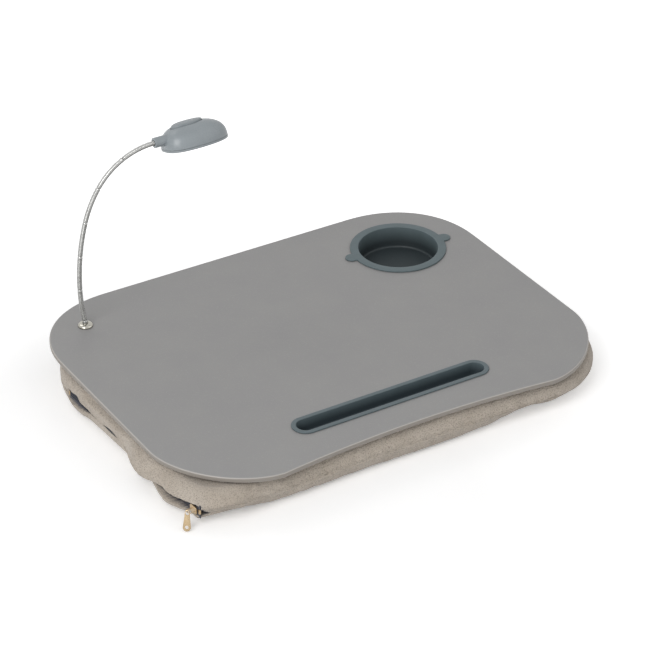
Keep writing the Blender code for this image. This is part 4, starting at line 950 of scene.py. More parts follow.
def hump(degrees, middle, half_width):
    """One at a direction round the cushion, fading to zero on both sides of it."""
    away = math.remainder(degrees - middle, 360)
    return math.exp(-(away / half_width) ** 2)


def direction(x, y):
    """The direction of a point from the cushion's middle, in degrees."""
    return math.degrees(math.atan2(y, x))


def seam_height(x, y):
    """Height of the seam at a place: level, but for its rise at the corner by the zip."""
    return SEAM_HEIGHT + SEAM_LIFT * hump(direction(x, y), SEAM_LIFT_DEG, SEAM_LIFT_WIDTH_DEG)


def tuck(x, y):
    """How far the foot of the lower skin is drawn in at a place."""
    degrees = direction(x, y)
    return TUCK_ALL_ROUND + sum(depth * hump(degrees, middle, half) for middle, half, depth in TUCKS)


def half_skin(seam, upper):
    """Rings of the upper or the lower skin, from the seam to the middle of the top or of the foot."""
    inward = [Vector(b) - Vector(a) for a, b in zip(seam, inset_loop(seam, 1.0))]
    tucks = [0 if upper else tuck(x, y) for x, y in seam]
    heights = [seam_height(x, y) for x, y in seam]
    far = CUSHION_HEIGHT if upper else 0
    rings = []
    for share in flank_levels(abs(far - SEAM_HEIGHT)):
        inset = shoulder_inset(share)
        puff = between(inset, PUFF_INSETS, PUFF_SHARES) * PUFF_HEIGHT if upper else 0
        ring = []
        for place, inner, drawn, height in zip(seam, inward, tucks, heights):
            spot = Vector(place) + inner * (inset + drawn * share ** TUCK_POWER_SHARE)
            ring.append((spot.x, spot.y, height + (far - height) * share + puff))
        rings.append(ring)
    edge = rings[-1]
    for share in CAP_SHARES:
        rings.append([(x * share, y * share, z) for x, y, z in edge])
    return rings


def swell(piece, seam_row, rows):
    """Blow the cushion up a little between its seam and its pressed faces, by cloth simulation."""
    group = piece.vertex_groups.new(name="held")
    free_span = len(SEAM_ROW_OFFSETS) + FLANK_ROWS
    for row in range(rows):
        loose = 0 < abs(row - seam_row) < free_span
        if not loose:
            group.add([row * COLUMNS + i for i in range(COLUMNS)], 1.0, "REPLACE")
    start = [point.co.copy() for point in piece.data.vertices]
    cloth = piece.modifiers.new("cloth", "CLOTH")
    cloth.settings.vertex_group_mass = "held"
    cloth.settings.quality = CLOTH_QUALITY
    cloth.settings.use_pressure = True
    cloth.settings.uniform_pressure_force = CLOTH_PRESSURE
    cloth.settings.shrink_min = CLOTH_SHRINK
    cloth.settings.effector_weights.gravity = 0
    cloth.collision_settings.use_collision = False
    cloth.point_cache.frame_end = CLOTH_FRAMES
    for number in range(1, CLOTH_FRAMES + 1):
        bpy.context.scene.frame_set(number)
    bake(piece)
    bpy.context.scene.frame_set(1)
    for point, before in zip(piece.data.vertices, start):
        move = point.co - before
        if move.length > MOST_SWELL:
            point.co = before + move.normalized() * MOST_SWELL


def zip_line():
    """The zip's frame and length: its origin at the front end, +Y along the chain, -X outwards."""
    front = Vector((ZIP_FRONT_INSET - CUSHION_HALF_WIDTH, ZIP_FROM_FRONT - CUSHION_FRONT, SEAM_HEIGHT))
    rear = Vector((ZIP_REAR_INSET - CUSHION_HALF_WIDTH, CUSHION_REAR - ZIP_FROM_REAR, SEAM_HEIGHT))
    along = rear - front
    turn = Matrix.Rotation(math.atan2(-along.x, along.y), 4, "Z")
    return Matrix.Translation(front) @ turn, along.length


def side_wave(place):
    """How far the left side is pushed out at a point, by the filling's weight."""
    if place.x > -CUSHION_HALF_WIDTH / 2:
        return 0
    middle = SEAM_HEIGHT + sum(mouth(place.y)) / 2
    low = 1 - smooth_share(place.z, middle - SEAM_BLEND, middle + SEAM_BLEND)
    push = 0
    for middle, half, lower, upper in LEFT_WAVES:
        reach = math.exp(-((place.y - middle) / half) ** 2)
        push += reach * (lower * low + upper * (1 - low))
    return push


def soften(place, normal, in_zip):
    """Ripples all over, the waves of the left side, and the pinch of the seam outside the zip."""
    side = Vector((normal.x, normal.y, 0))
    steep = side.length
    ripple = noise.noise(place / RIPPLE_SIZE) * RIPPLE_HEIGHT + noise.noise(place / TUFT_SIZE) * TUFT_HEIGHT
    new = place + normal * ripple * smooth_share(steep, 0, RIPPLE_FULL_SHARE)
    if place.x < 0:
        new.x -= side_wave(place) * smooth_share(-side.x, *WAVE_SIDE_SHARES)
    rise = abs(place.z - seam_height(place.x, place.y))
    pinch = SEAM_PINCH * math.exp(-(rise / SEAM_PINCH_WIDTH) ** 2) * steep * (1 - in_zip)
    return new - side * pinch


def part_lips(local, along, in_zip):
    """Sink the skin behind the chain between the lips, and lay it over the tapes; gives how far it sank."""
    sink = within(local.z, *mouth(along), LIP_ROUND) * in_zip
    covered = 1 - smooth_share(abs(local.z), TAPE_COVER_HEIGHT, TAPE_COVER_HEIGHT + ZIP_END_FADE)
    local.x -= max(local.x + TAPE_COVER, 0) * in_zip * covered * (1 - sink)
    local.x += max(GROOVE_DEPTH - local.x, 0) * sink
    return sink


def sculpt_skin(piece):
    """Side waves, seam pinch, zip opening, nut dip and soft ripples of the skin."""
    turn, length = zip_line()
    back = turn.inverted()
    centre = Vector((LAMP_X, LAMP_Y))
    flat = CUSHION_HEIGHT + PUFF_HEIGHT
    normals = [vertex.normal.copy() for vertex in piece.data.vertices]
    lined = piece.data.attributes.new(TAPE_SHARE_NAME, "FLOAT", "POINT")
    for vertex, normal in zip(piece.data.vertices, normals):
        in_zip = within((back @ vertex.co).y, 0, length, ZIP_END_FADE) if vertex.co.x <= 0 else 0
        new = soften(vertex.co, normal, in_zip)
        if in_zip > 0:
            local = back @ new
            sink = part_lips(local, new.y, in_zip)
            new = turn @ local
            lined.data[vertex.index].value = smooth_share(sink, *TAPE_EDGE_SHARES)
        if new.z > NUT_DIP_FLOOR:
            away = (Vector((new.x, new.y)) - centre).length
            dip = 1 - smooth_share(away, NUT_DIP_RADIUS, NUT_DIP_RADIUS + NUT_DIP_FADE)
            new.z += (NUT_DIP_FLOOR - new.z) * dip
        new.z = min(max(new.z, 0), flat)
        vertex.co = new


def pocket_plans():
    """What hangs below the board into the cushion: plan and floor height of each pocket."""
    cup_reach = CUP_INNER_RADIUS + CUP_WALL + POCKET_ROOM
    cup_floor = SEAT + CUP_FLANGE_THICKNESS - CUP_DEPTH - CUP_WALL - POCKET_ROOM
    tray_inset = TRAY_FLANGE_WIDTH - TRAY_WALL - POCKET_ROOM
    tray_floor = SEAT + TRAY_FLANGE_THICKNESS - TRAY_DEPTH - TRAY_WALL - POCKET_ROOM
    cup = [(CUP_X + x, CUP_Y + y) for x, y in oval(cup_reach, cup_reach, ROUND_STEPS)]
    tray = [(x, TRAY_Y + y) for x, y in inset_loop(stadium(TRAY_LENGTH, TRAY_WIDTH), tray_inset)]
    return ((cup, cup_floor), (tray, tray_floor))


def inside(point, outline):
    """Whether a point lies inside a closed outline."""
    x, y = point
    hit = False
    for i, (x1, y1) in enumerate(outline):
        x2, y2 = outline[i - 1]
        if (y1 > y) != (y2 > y) and x < (x2 - x1) * (y - y1) / (y2 - y1) + x1:
            hit = not hit
    return hit


def open_loop(shape, upper):
    """The points round the opening that is left in the upper or lower skin, in order."""
    edges = {edge for edge in shape.edges if edge.is_boundary and (edge.verts[0].co.z > SEAM_HEIGHT) == upper}
    edge = next(iter(edges))
    start = point = edge.verts[0]
    loop = []
    while True:
        loop.append(point)
        edge = next(e for e in point.link_edges if e in edges)
        edges.discard(edge)
        point = edge.other_vert(point)
        if point is start:
            return loop


def drop_caps(piece):
    """Take away the flat faces that closed the skin for the simulation."""
    shape = bmesh.new()
    shape.from_mesh(piece.data)
    bmesh.ops.delete(shape, geom=[face for face in shape.faces if face.material_index == 1], context="FACES")
    shape.to_mesh(piece.data)
    shape.free()


def close_skin(piece):
    """Fill the foot, and the top with a sewn-in pocket for the cup and for the tray."""
    shape = bmesh.new()
    shape.from_mesh(piece.data)
    shape.faces.new(open_loop(shape, False))
    pockets = pocket_plans()
    rings = [open_loop(shape, True)]
    for plan, floor in pockets:
        rings.append([shape.verts.new((x, y, CUSHION_HEIGHT)) for x, y in plan])
    points = [point for ring in rings for point in ring]
    edges = []
    first = 0
    for ring in rings:
        count = len(ring)
        edges += [(first + i, first + (i + 1) % count) for i in range(count)]
        first += count
    flat = [Vector((point.co.x, point.co.y)) for point in points]
    places, _, faces, sources = delaunay_2d_cdt(flat, edges, [], 1, MERGE_DISTANCE)[:4]
    for face in faces:
        middle = sum((places[i] for i in face), Vector((0, 0))) / len(face)
        if not any(inside(middle, plan) for plan, floor in pockets):
            shape.faces.new([points[sources[i][0]] for i in face])
    for ring, (plan, floor) in zip(rings[1:], pockets):
        below = [shape.verts.new((x, y, floor)) for x, y in plan]
        count = len(ring)
        for i in range(count):
            j = (i + 1) % count
            shape.faces.new((ring[i], ring[j], below[j], below[i]))
        shape.faces.new(below)
    bmesh.ops.recalc_face_normals(shape, faces=shape.faces)
    shape.to_mesh(piece.data)
    shape.free()


def make_cushion():
    """The bead-filled fleece cushion: simulated, seamed, with pockets for what hangs into it."""
    seam = cushion_outline()
    foot, top = half_skin(seam, False), half_skin(seam, True)
    rings = list(reversed(foot)) + top[1:]
    piece = put("cushion", loft(rings))
    for face in piece.data.polygons:
        row = min(index // COLUMNS for index in face.vertices)
        if row >= len(rings) - len(CAP_SHARES) - 1 or row < len(CAP_SHARES):
            face.material_index = 1
    piece.data.materials.append(MATERIALS["fleece"])
    piece.data.materials.append(MATERIALS["fleece"])
    swell(piece, len(foot) - 1, len(rings))
    drop_caps(piece)
    finer = piece.modifiers.new("finer", "SUBSURF")
    finer.levels = 1
    finer.render_levels = 1
    bake(piece)
    sculpt_skin(piece)
    close_skin(piece)
    dress(piece, "fleece", "desk", ["cushion_cover", "cushion_base", "bead_bag"], SHARP_FLEECE_DEG)
    for face in piece.data.polygons:
        face.material_index = 0


def new_tree(name, sizes, counts=()):
    """A Geometry Nodes tree with named inputs; gives the tree, what comes in and the identifiers."""
    tree = bpy.data.node_groups.new(name, "GeometryNodeTree")
    kinds = {"Geometry": "NodeSocketGeometry", **dict.fromkeys(sizes, "NodeSocketFloat")}
    kinds.update(dict.fromkeys(counts, "NodeSocketInt"))
    kinds["Material"] = "NodeSocketMaterial"
    names = {}
    for label, kind in kinds.items():
        names[label] = tree.interface.new_socket(label, in_out="INPUT", socket_type=kind).identifier
    tree.interface.new_socket("Geometry", in_out="OUTPUT", socket_type="NodeSocketGeometry")
    return tree, add(tree, "NodeGroupInput").node.outputs, names


def close_tree(tree, geometry, given, names):
    """End a tree in Realize Instances and Set Material."""
    real = add(tree, "GeometryNodeRealizeInstances", {"Geometry": geometry})
    painted = add(tree, "GeometryNodeSetMaterial", {"Geometry": real, "Material": given["Material"]})
    add(tree, "NodeGroupOutput", {"Geometry": painted})
    return tree, names


def grow(name, path, grower, values):
    """Run a tree on a line of points and keep what it makes as a plain mesh."""
    tree, names = grower
    mesh = bpy.data.meshes.new(name)
    mesh.from_pydata([tuple(point) for point in path], [(i, i + 1) for i in range(len(path) - 1)], [])
    piece = bpy.data.objects.new(name, mesh)
    change = piece.modifiers.new("grow", "NODES")
    change.node_group = tree
    for label, value in values.items():
        change[names[label]] = value
    bpy.context.collection.objects.link(piece)
    return bake(piece)


def rib_tree():
    """Wire ribs threaded on a curved core, with a ball at its far end."""
    tree, given, names = new_tree(
        "neck_ribs", ("Rib radius", "Rib thickness", "Core radius", "Ball radius"), ("Ribs",))
    path = add(tree, "GeometryNodeMeshToCurve", {"Mesh": given["Geometry"]})
    spots = add(tree, "GeometryNodeResampleCurve", {"Curve": path, "Count": given["Ribs"]})
    wire = {"Radius": given["Rib thickness"], "Resolution": WIRE_SIDES}
    wire = add(tree, "GeometryNodeCurvePrimitiveCircle", wire)
    reach = {0: given["Rib radius"], 1: given["Rib thickness"]}
    reach = add(tree, "ShaderNodeMath", reach, operation="SUBTRACT")
    loop = add(tree, "GeometryNodeCurvePrimitiveCircle", {"Radius": reach, "Resolution": CORE_SIDES})
    rib = add(tree, "GeometryNodeCurveToMesh", {"Curve": loop, "Profile Curve": wire})
    tangent = add(tree, "GeometryNodeInputTangent")
    aim = add(tree, "FunctionNodeAlignRotationToVector", {"Vector": tangent}, axis="Z")
    ribs = add(tree, "GeometryNodeInstanceOnPoints", {"Points": spots, "Instance": rib, "Rotation": aim})
    core = {"Curve": path, TRIM_START: CORE_START - FIRST_RIB, TRIM_END: NECK_LENGTH}
    core = add(tree, "GeometryNodeTrimCurve", core, mode="LENGTH")
    ring = {"Radius": given["Core radius"], "Resolution": CORE_SIDES}
    ring = add(tree, "GeometryNodeCurvePrimitiveCircle", ring)
    core = add(tree, "GeometryNodeCurveToMesh", {"Curve": core, "Profile Curve": ring, "Fill Caps": True})
    end = add(tree, "GeometryNodeCurveEndpointSelection", {"Start Size": 0, "End Size": 1})
    ball = {"Radius": given["Ball radius"], "Segments": BALL_FACES[0], "Rings": BALL_FACES[1]}
    ball = add(tree, "GeometryNodeMeshUVSphere", ball)
    tip = add(tree, "GeometryNodeInstanceOnPoints", {"Points": path, "Instance": ball, "Selection": end})
    joined = add(tree, "GeometryNodeJoinGeometry", {"Geometry": [ribs, core, tip]})
    return close_tree(tree, joined, given, names)


def neck_point(distance):
    """Place and lean of the neck's centre line, a chain of arcs in the XZ plane."""
    lean = math.radians(NECK_START_LEAN_DEG)
    place = Vector((LAMP_X, LAMP_Y, FIRST_PIVOT))
    left = distance
    for bend in NECK_BENDS_DEG:
        turn = math.radians(bend) / NECK_PART
        run = min(left, NECK_PART)
        end_lean = lean + turn * run
        across = math.cos(lean) - math.cos(end_lean)
        up = math.sin(end_lean) - math.sin(lean)
        place = place + Vector((across, 0, up)) / turn
        lean = end_lean
        left -= run
        if left <= 0:
            break
    return place + Vector((math.sin(lean), 0, math.cos(lean))) * left, lean


def make_neck():
    """The ribbed gooseneck, one piece for each length that bends on the next."""
    grower = rib_tree()
    values = {
        "Rib radius": NECK_RADIUS,
        "Rib thickness": RIB_THICKNESS,
        "Core radius": CORE_RADIUS,
        "Ball radius": NECK_RADIUS - SEAT_GAP / 2,
        "Ribs": RIB_COUNT,
        "Material": MATERIALS["neck_steel"],
    }
    for number in range(1, len(NECK_BENDS_DEG) + 1):
        begin, end = (number - 1) * NECK_PART + FIRST_RIB, number * NECK_PART
        steps = [begin + (end - begin) * i / NECK_PATH_STEPS for i in range(NECK_PATH_STEPS + 1)]
        piece = grow(f"neck_length_{number}", [neck_point(step)[0] for step in steps], grower, values)
        dress(piece, "neck_steel", f"neck_{number}", [f"gooseneck_{number}"], SHARP_NECK_DEG)


def make_stud():
    """The stud with the ball on which the neck stands."""
    foot, shoulder = BOARD_BOTTOM - STUD_DROP, BOARD_TOP + STUD_SHOULDER
    profile = [(0, foot), (STUD_RADIUS, foot), (STUD_RADIUS, shoulder), (NECK_RADIUS, shoulder)]
    for angle in quarter_turn(TINY_STEPS)[:-1]:
        profile.append((NECK_RADIUS * math.cos(angle), FIRST_PIVOT + NECK_RADIUS * math.sin(angle)))
    profile.append((0, FIRST_PIVOT + NECK_RADIUS))
    dress(put("stud", turned(profile), LAMP_FRAME), "neck_steel", "desk", ["lamp_stud"])


def make_collar():
    """The domed nickel eyelet round the foot of the neck."""
    rim = SEAT + COLLAR_RIM
    ledge = BOARD_TOP + STUD_SHOULDER + SEAT_GAP
    bore = NECK_RADIUS + SEAT_GAP
    wide_bore = STUD_RADIUS + SEAT_GAP
    profile = [(wide_bore, SEAT), (COLLAR_RADIUS, SEAT), (COLLAR_RADIUS, rim)]
    for angle in quarter_turn(TINY_STEPS)[1:]:
        reach = bore + (COLLAR_RADIUS - bore) * math.cos(angle)
        profile.append((reach, rim + (BOARD_TOP + COLLAR_HEIGHT - rim) * math.sin(angle)))
    profile += [(bore, ledge), (wide_bore, ledge)]
    collar = put("collar", turned(profile, ROUND_STEPS), LAMP_FRAME)
    dress(collar, "bright_nickel", "desk", ["lamp_collar"])


def ear_reach(angle):
    """How far the cup's rim reaches at an angle: round, with two small ears."""
    offset = EAR_REACH - EAR_RADIUS
    turn = abs(math.remainder(angle, math.pi))
    across = offset * math.sin(turn)
    if across >= EAR_RADIUS:
        return CUP_FLANGE_RADIUS
    ear = offset * math.cos(turn) + math.sqrt(EAR_RADIUS ** 2 - across ** 2)
    return max(CUP_FLANGE_RADIUS, ear)


def make_cup_holder():
    """The soft cup with its flat flange and its two pull ears."""
    top = SEAT + CUP_FLANGE_THICKNESS
    floor = top - CUP_DEPTH
    outer = CUP_INNER_RADIUS + CUP_WALL
    rim = [(ear_reach(a) * math.cos(a), ear_reach(a) * math.sin(a)) for a in once_round(CUP_STEPS)]

    def circle(radius, height):
        return [(x, y, height) for x, y in oval(radius, radius, CUP_STEPS)]

    flange = [(inset, SEAT + drop) for inset, drop in rounding(CUP_FLANGE_ROUND / 2)]
    flange += [(inset, top - drop) for inset, drop in reversed(rounding(CUP_FLANGE_ROUND))]
    rings = []
    for inset, drop in rounding(CUP_FLOOR_ROUND):
        rings.append(circle(outer - CUP_DRAFT - inset, floor - CUP_WALL + drop))
    rings.append(circle(outer, SEAT))
    rings += stack(rim, flange)
    for inset, drop in rounding(CUP_FLANGE_ROUND):
        rings.append(circle(CUP_INNER_RADIUS + inset, top - drop))
    for inset, drop in reversed(rounding(CUP_FLOOR_ROUND)):
        rings.append(circle(CUP_INNER_RADIUS - CUP_DRAFT - inset, floor + drop))
    dress(put("cup", loft(rings), CUP_FRAME), "holder_rubber", "cup_holder", ["cup_holder_insert"])


def make_pen_tray():
    """The long tray with its thin flange and round ends."""
    top = SEAT + TRAY_FLANGE_THICKNESS
    floor = top - TRAY_DEPTH
    wall = TRAY_FLANGE_WIDTH - TRAY_WALL
    inner = TRAY_FLANGE_WIDTH + TRAY_DRAFT
    deep, thin = rounding(TRAY_FLOOR_ROUND), rounding(TRAY_FLANGE_ROUND)
    levels = [(wall + TRAY_DRAFT + inset, floor - TRAY_WALL + drop) for inset, drop in deep]
    levels.append((wall, SEAT))
    levels += [(inset, SEAT + drop) for inset, drop in rounding(TRAY_FLANGE_ROUND / 2)]
    levels += [(inset, top - drop) for inset, drop in reversed(thin)]
    levels += [(TRAY_FLANGE_WIDTH - inset, top - drop) for inset, drop in thin]
    levels += [(inner + inset, floor + drop) for inset, drop in reversed(deep)]
    rings = stack(stadium(TRAY_LENGTH, TRAY_WIDTH), levels)
    dress(put("tray", loft(rings), TRAY_FRAME), "tray_rubber", "desk", ["pen_tray"])


def head_frame():
    """The lamp head's frame: along the neck's end, turned so that the light faces the sitter."""
    place, lean = neck_point(NECK_LENGTH)
    point_along = Matrix.Rotation(lean - math.pi / 2, 4, "Y")
    return Matrix.Translation(place) @ point_along @ Matrix.Rotation(math.radians(HEAD_ROLL_DEG), 4, "X")


def head_place(from_rear, side=0.0):
    """A frame at a distance from the head's rear end, for round features."""
    return head_frame() @ Matrix.Translation((HEAD_COLLAR_LENGTH + from_rear, side, 0))


def screw_places():
    """The frames of the two screws under the head."""
    return [head_place(SCREW_FROM_REAR, side * SCREW_OFFSET) for side in (-1, 1)]


def egg_size(along, full, widest_share, rear_power, front_power, length):
    """Half width or height of the head at a distance from its rear end."""
    widest = length * widest_share
    if along < widest:
        return full * max(1 - ((widest - along) / widest) ** rear_power, 0) ** (1 / rear_power)
    return full * max(1 - ((along - widest) / (length - widest)) ** front_power, 0) ** (1 / front_power)


def egg_widths(along, grow_by, length):
    """Half width and height of the grown head at a distance from its rear end."""
    half = egg_size(along, HEAD_HALF_WIDTH + grow_by, HEAD_WIDEST_SHARE, *HEAD_WIDTH_POWER_SHARES, length)
    tall = egg_size(along, HEAD_HEIGHT + grow_by, HEAD_TALLEST_SHARE, *HEAD_HEIGHT_POWER_SHARES, length)
    return half, tall


def head_egg(grow_by, bottom):
    """The head's egg shape, grown or shrunk all round, with a flat bottom."""
    length = HEAD_LENGTH + 2 * grow_by
    start = HEAD_COLLAR_LENGTH - grow_by
    power = 2 / HEAD_SECTION_POWER_SHARE
    rings = []
    for i in range(EGG_STEPS + 1):
        share = HEAD_END_SHARE + (1 - 2 * HEAD_END_SHARE) * (1 - math.cos(math.pi * i / EGG_STEPS)) / 2
        half, tall = egg_widths(length * share, grow_by, length)
        x = start + length * share
        ring = []
        for j in range(EGG_STEPS + 1):
            angle = math.pi * j / EGG_STEPS
            cos, sin = math.cos(angle), math.sin(angle)
            y = half * math.copysign(abs(cos) ** power, cos)
            z = tall * max(sin, 0) ** power
            ring.append((x, y, max(z - HEAD_AXIS_HEIGHT, bottom)))
        rings.append(ring + [(x, -half, bottom - OVERRUN), (x, half, bottom - OVERRUN)])
    return loft(rings)


def egg_top(x, y, grow_by):
    """Height of the grown head's surface over a point of its plan."""
    length = HEAD_LENGTH + 2 * grow_by
    along = x - HEAD_COLLAR_LENGTH + grow_by
    half, tall = egg_widths(along, grow_by, length)
    power = HEAD_SECTION_POWER_SHARE
    return tall * max(1 - min(abs(y) / half, 1) ** power, 0) ** (1 / power) - HEAD_AXIS_HEIGHT


def big_block(bottom, top):
    """A block wider and longer than the head."""
    reach = HEAD_LENGTH + HEAD_COLLAR_LENGTH + OVERRUN
    return block((-OVERRUN, -reach, bottom), (reach, reach, top))


def make_head_shell():
    """The domed upper shell with the neck's socket, its button hole and screw bosses."""
    here = head_frame()
    split = HEAD_UNDERSIDE + BASE_THICKNESS + SEAT_GAP
    piece = put("lamp_shell", head_egg(0, HEAD_UNDERSIDE), here)
    socket = here @ Matrix.Rotation(math.pi / 2, 4, "Y")
    merge = HEAD_COLLAR_LENGTH + 2 * HEAD_WALL + HEAD_COLLAR_RADIUS
    profile = [(0, 0)]
    profile += [(HEAD_COLLAR_RADIUS - inset, drop) for inset, drop in rounding(COLLAR_EDGE_ROUND)]
    profile += [(HEAD_COLLAR_RADIUS, merge), (0, merge)]
    hole = oval(BUTTON_HALF_LENGTH + BUTTON_GAP, BUTTON_HALF_WIDTH + BUTTON_GAP, ROUND_STEPS)
    floor = NECK_PLUG + SEAT_GAP
    steps = [
        ("UNION", turned(profile), socket),
        ("DIFFERENCE", big_block(HEAD_UNDERSIDE - 2 * OVERRUN, split), here),
        ("DIFFERENCE", head_egg(-HEAD_WALL, split - OVERRUN), here),
        ("UNION", cylinder(HEAD_COLLAR_RADIUS - HEAD_WALL / 2, floor, merge), socket),
    ]
    for place in screw_places():
        pilot_top = HEAD_UNDERSIDE + SCREW_LENGTH + SEAT_GAP
        pilot = cylinder(SCREW_SHANK_RADIUS + SEAT_GAP, split - OVERRUN, pilot_top, TINY_STEPS)
        steps.append(("UNION", cylinder(BOSS_RADIUS, split, BOSS_TOP, TINY_STEPS), place))
        steps.append(("DIFFERENCE", pilot, place))
    steps.append(("DIFFERENCE", prism(hole, 0, HEAD_HEIGHT + OVERRUN), head_place(BUTTON_FROM_REAR)))
    bore = cylinder(NECK_RADIUS + RUN_GAP, -OVERRUN, floor, TINY_STEPS)
    carve(piece, *steps, ("DIFFERENCE", bore, socket))
    dress(piece, "lamp_plastic", "lamp_head", ["head_shell"], SHARP_LAMP_DEG)


def base_outline():
    """The head's plan where it is cut flat below."""
    points = []
    steps = 2 * EGG_STEPS
    for i, angle in enumerate(once_round(steps)):
        along = HEAD_LENGTH * (1 + math.cos(angle)) / 2
        along = min(max(along, HEAD_LENGTH * HEAD_END_SHARE), HEAD_LENGTH * (1 - HEAD_END_SHARE))
        half = egg_widths(along, 0, HEAD_LENGTH)[0]
        y = math.copysign(half, math.sin(angle)) if i % EGG_STEPS else 0
        points.append((HEAD_COLLAR_LENGTH + along, y))
    return points


def make_head_base():
    """The flat lower shell with the battery tube, the light's window and two screw sinks."""
    floor = HEAD_UNDERSIDE + BASE_THICKNESS
    outline = base_outline()
    rings = stack(outline, [(inset, HEAD_UNDERSIDE + drop) for inset, drop in rounding(BASE_EDGE_ROUND)])
    rings.append([(x, y, floor) for x, y in outline])
    piece = put("lamp_base", loft(rings), head_frame())
    battery = head_place(BATTERY_FROM_REAR)
    light = head_place(LIGHT_FROM_REAR)
    hole = COVER_RADIUS + SEAT_GAP
    low = HEAD_UNDERSIDE - OVERRUN
    seat = HEAD_UNDERSIDE + LENS_LIP_THICKNESS
    lens_hole = LENS_RADIUS + SEAT_GAP
    ring_top = seat + SEAT_GAP + LENS_THICKNESS + SEAT_GAP + LED_HEIGHT
    steps = [
        ("UNION", cylinder(hole + TUBE_WALL, floor - TUBE_WALL, TUBE_TOP), battery),
        ("DIFFERENCE", cylinder(hole, low, TUBE_TOP + OVERRUN), battery),
        ("UNION", cylinder(lens_hole + LIGHT_RING_WALL, floor - TUBE_WALL, ring_top), light),
        ("DIFFERENCE", cylinder(lens_hole, seat, ring_top + OVERRUN), light),
        ("DIFFERENCE", cylinder(LENS_RADIUS - LENS_LIP, low, seat + OVERRUN), light),
    ]
    for place in screw_places():
        sink_top = HEAD_UNDERSIDE + SCREW_HEAD_HEIGHT + 2 * SEAT_GAP
        sink = cylinder(SCREW_HEAD_RADIUS + SEAT_GAP, low, sink_top, TINY_STEPS)
        shank = cylinder(SCREW_SHANK_RADIUS + SEAT_GAP, low, floor + OVERRUN, TINY_STEPS)
        steps += [("DIFFERENCE", sink, place), ("DIFFERENCE", shank, place)]
    carve(piece, *steps)
    dress(piece, "lamp_plastic", "lamp_head", ["head_base"], SHARP_LAMP_DEG)


def make_button():
    """The raised oval power button, domed as the head is, on its hidden flange."""
    centre = HEAD_COLLAR_LENGTH + BUTTON_FROM_REAR
    low = BUTTON_BLOCK_HEIGHT

    def domed(half_length, half_width, grow_by, drop, least=-HEAD_HEIGHT):
        plan = [(centre + x, y) for x, y in oval(half_length, half_width, BUTTON_STEPS)]
        return [(x, y, max(egg_top(x, y, grow_by) - drop, least)) for x, y in plan]

    flange = -HEAD_WALL - SEAT_GAP
    narrow = (BUTTON_HALF_LENGTH, BUTTON_HALF_WIDTH)
    wide = [size + BUTTON_FLANGE for size in narrow]
    rings = [[(centre + x, y, low) for x, y in oval(*wide, BUTTON_STEPS)]]
    rings.append(domed(*wide, flange, SEAT_GAP, low + MERGE_DISTANCE))
    rings.append(domed(*narrow, flange, 0, low + MERGE_DISTANCE))
    for inset, drop in reversed(rounding(BUTTON_EDGE_ROUND)):
        rings.append(domed(narrow[0] - inset, narrow[1] - inset, BUTTON_PROUD, drop))
    for i in range(1, BUTTON_ROWS):
        share = 1 - i / BUTTON_ROWS
        reach = [(size - BUTTON_EDGE_ROUND) * share for size in narrow]
        rings.append(domed(*reach, BUTTON_PROUD, 0))
    piece = put("power_key", loft(rings), head_frame())
    dress(piece, "button_plastic", "button", ["power_button"], SHARP_BUTTON_DEG)


def make_lens():
    """The frosted lens, whose low dome stands in the window of the lower shell."""
    bottom = HEAD_UNDERSIDE + LENS_LIP_THICKNESS + SEAT_GAP
    top = bottom + LENS_THICKNESS
    window = LENS_RADIUS - LENS_LIP - SEAT_GAP
    dome = bottom - LENS_LIP_THICKNESS
    profile = [(0, dome), (window / 2, dome), (window, dome + LENS_EDGE_ROUND), (window, bottom)]
    profile += [(LENS_RADIUS, bottom), (LENS_RADIUS, top), (0, top)]
    lens = put("lens", turned(profile), head_place(LIGHT_FROM_REAR))
    dress(lens, "clear_plastic", "lamp_head", ["light_lens"])


def make_battery_cover():
    """The coin-slotted battery cover with the cup that holds the cells."""
    battery = head_place(BATTERY_FROM_REAR)
    low = HEAD_UNDERSIDE + COVER_RECESS
    disc_top = low + COVER_DISC
    cup_top = disc_top + CELL_THICKNESS
    inner = CELL_RADIUS + RUN_GAP
    profile = [(0, low)] + [(COVER_RADIUS - inset, low + drop) for inset, drop in rounding(COVER_EDGE_ROUND)]
    profile += [(COVER_RADIUS, cup_top), (inner, cup_top), (inner, disc_top), (0, disc_top)]
    cover = put("battery_lid", turned(profile, ROUND_STEPS), battery)
    slot = stadium(COIN_SLOT_LENGTH, COIN_SLOT_WIDTH, COIN_SLOT_END_STEPS)
    slot = rounded_slab(
        slot, low - OVERRUN, low + COIN_SLOT_DEPTH, COVER_EDGE_ROUND / 2, COIN_SLOT_RIM_STEPS)
    carve(cover, ("DIFFERENCE", slot, battery))
    dress(cover, "lamp_plastic", "battery_door", ["battery_cover"], SHARP_LAMP_DEG)


def make_screws():
    """The two cross-headed screws under the head."""
    low = HEAD_UNDERSIDE + SEAT_GAP
    top = low + SCREW_HEAD_HEIGHT
    end = HEAD_UNDERSIDE + SCREW_LENGTH
    profile = [(0, low)]
    profile += [(SCREW_HEAD_RADIUS - inset, low + drop) for inset, drop in rounding(SCREW_EDGE_ROUND)]
    profile += [(SCREW_HEAD_RADIUS, top), (SCREW_SHANK_RADIUS, top), (SCREW_SHANK_RADIUS, end), (0, end)]
    half, thin = CROSS_LENGTH / 2, CROSS_WIDTH / 2
    reaches = ((half, thin), (thin, half))
    for number, place in enumerate(screw_places(), 1):
        screw = put(f"screw_{number}", turned(profile, TINY_STEPS), place)
        bars = [block((-a, -b, low - OVERRUN), (a, b, low + CROSS_DEPTH)) for a, b in reaches]
        carve(screw, *[("DIFFERENCE", bar, place) for bar in bars])
        dress(screw, "bright_nickel", "lamp_head", [f"shell_screw_{number}"], SHARP_LAMP_DEG)


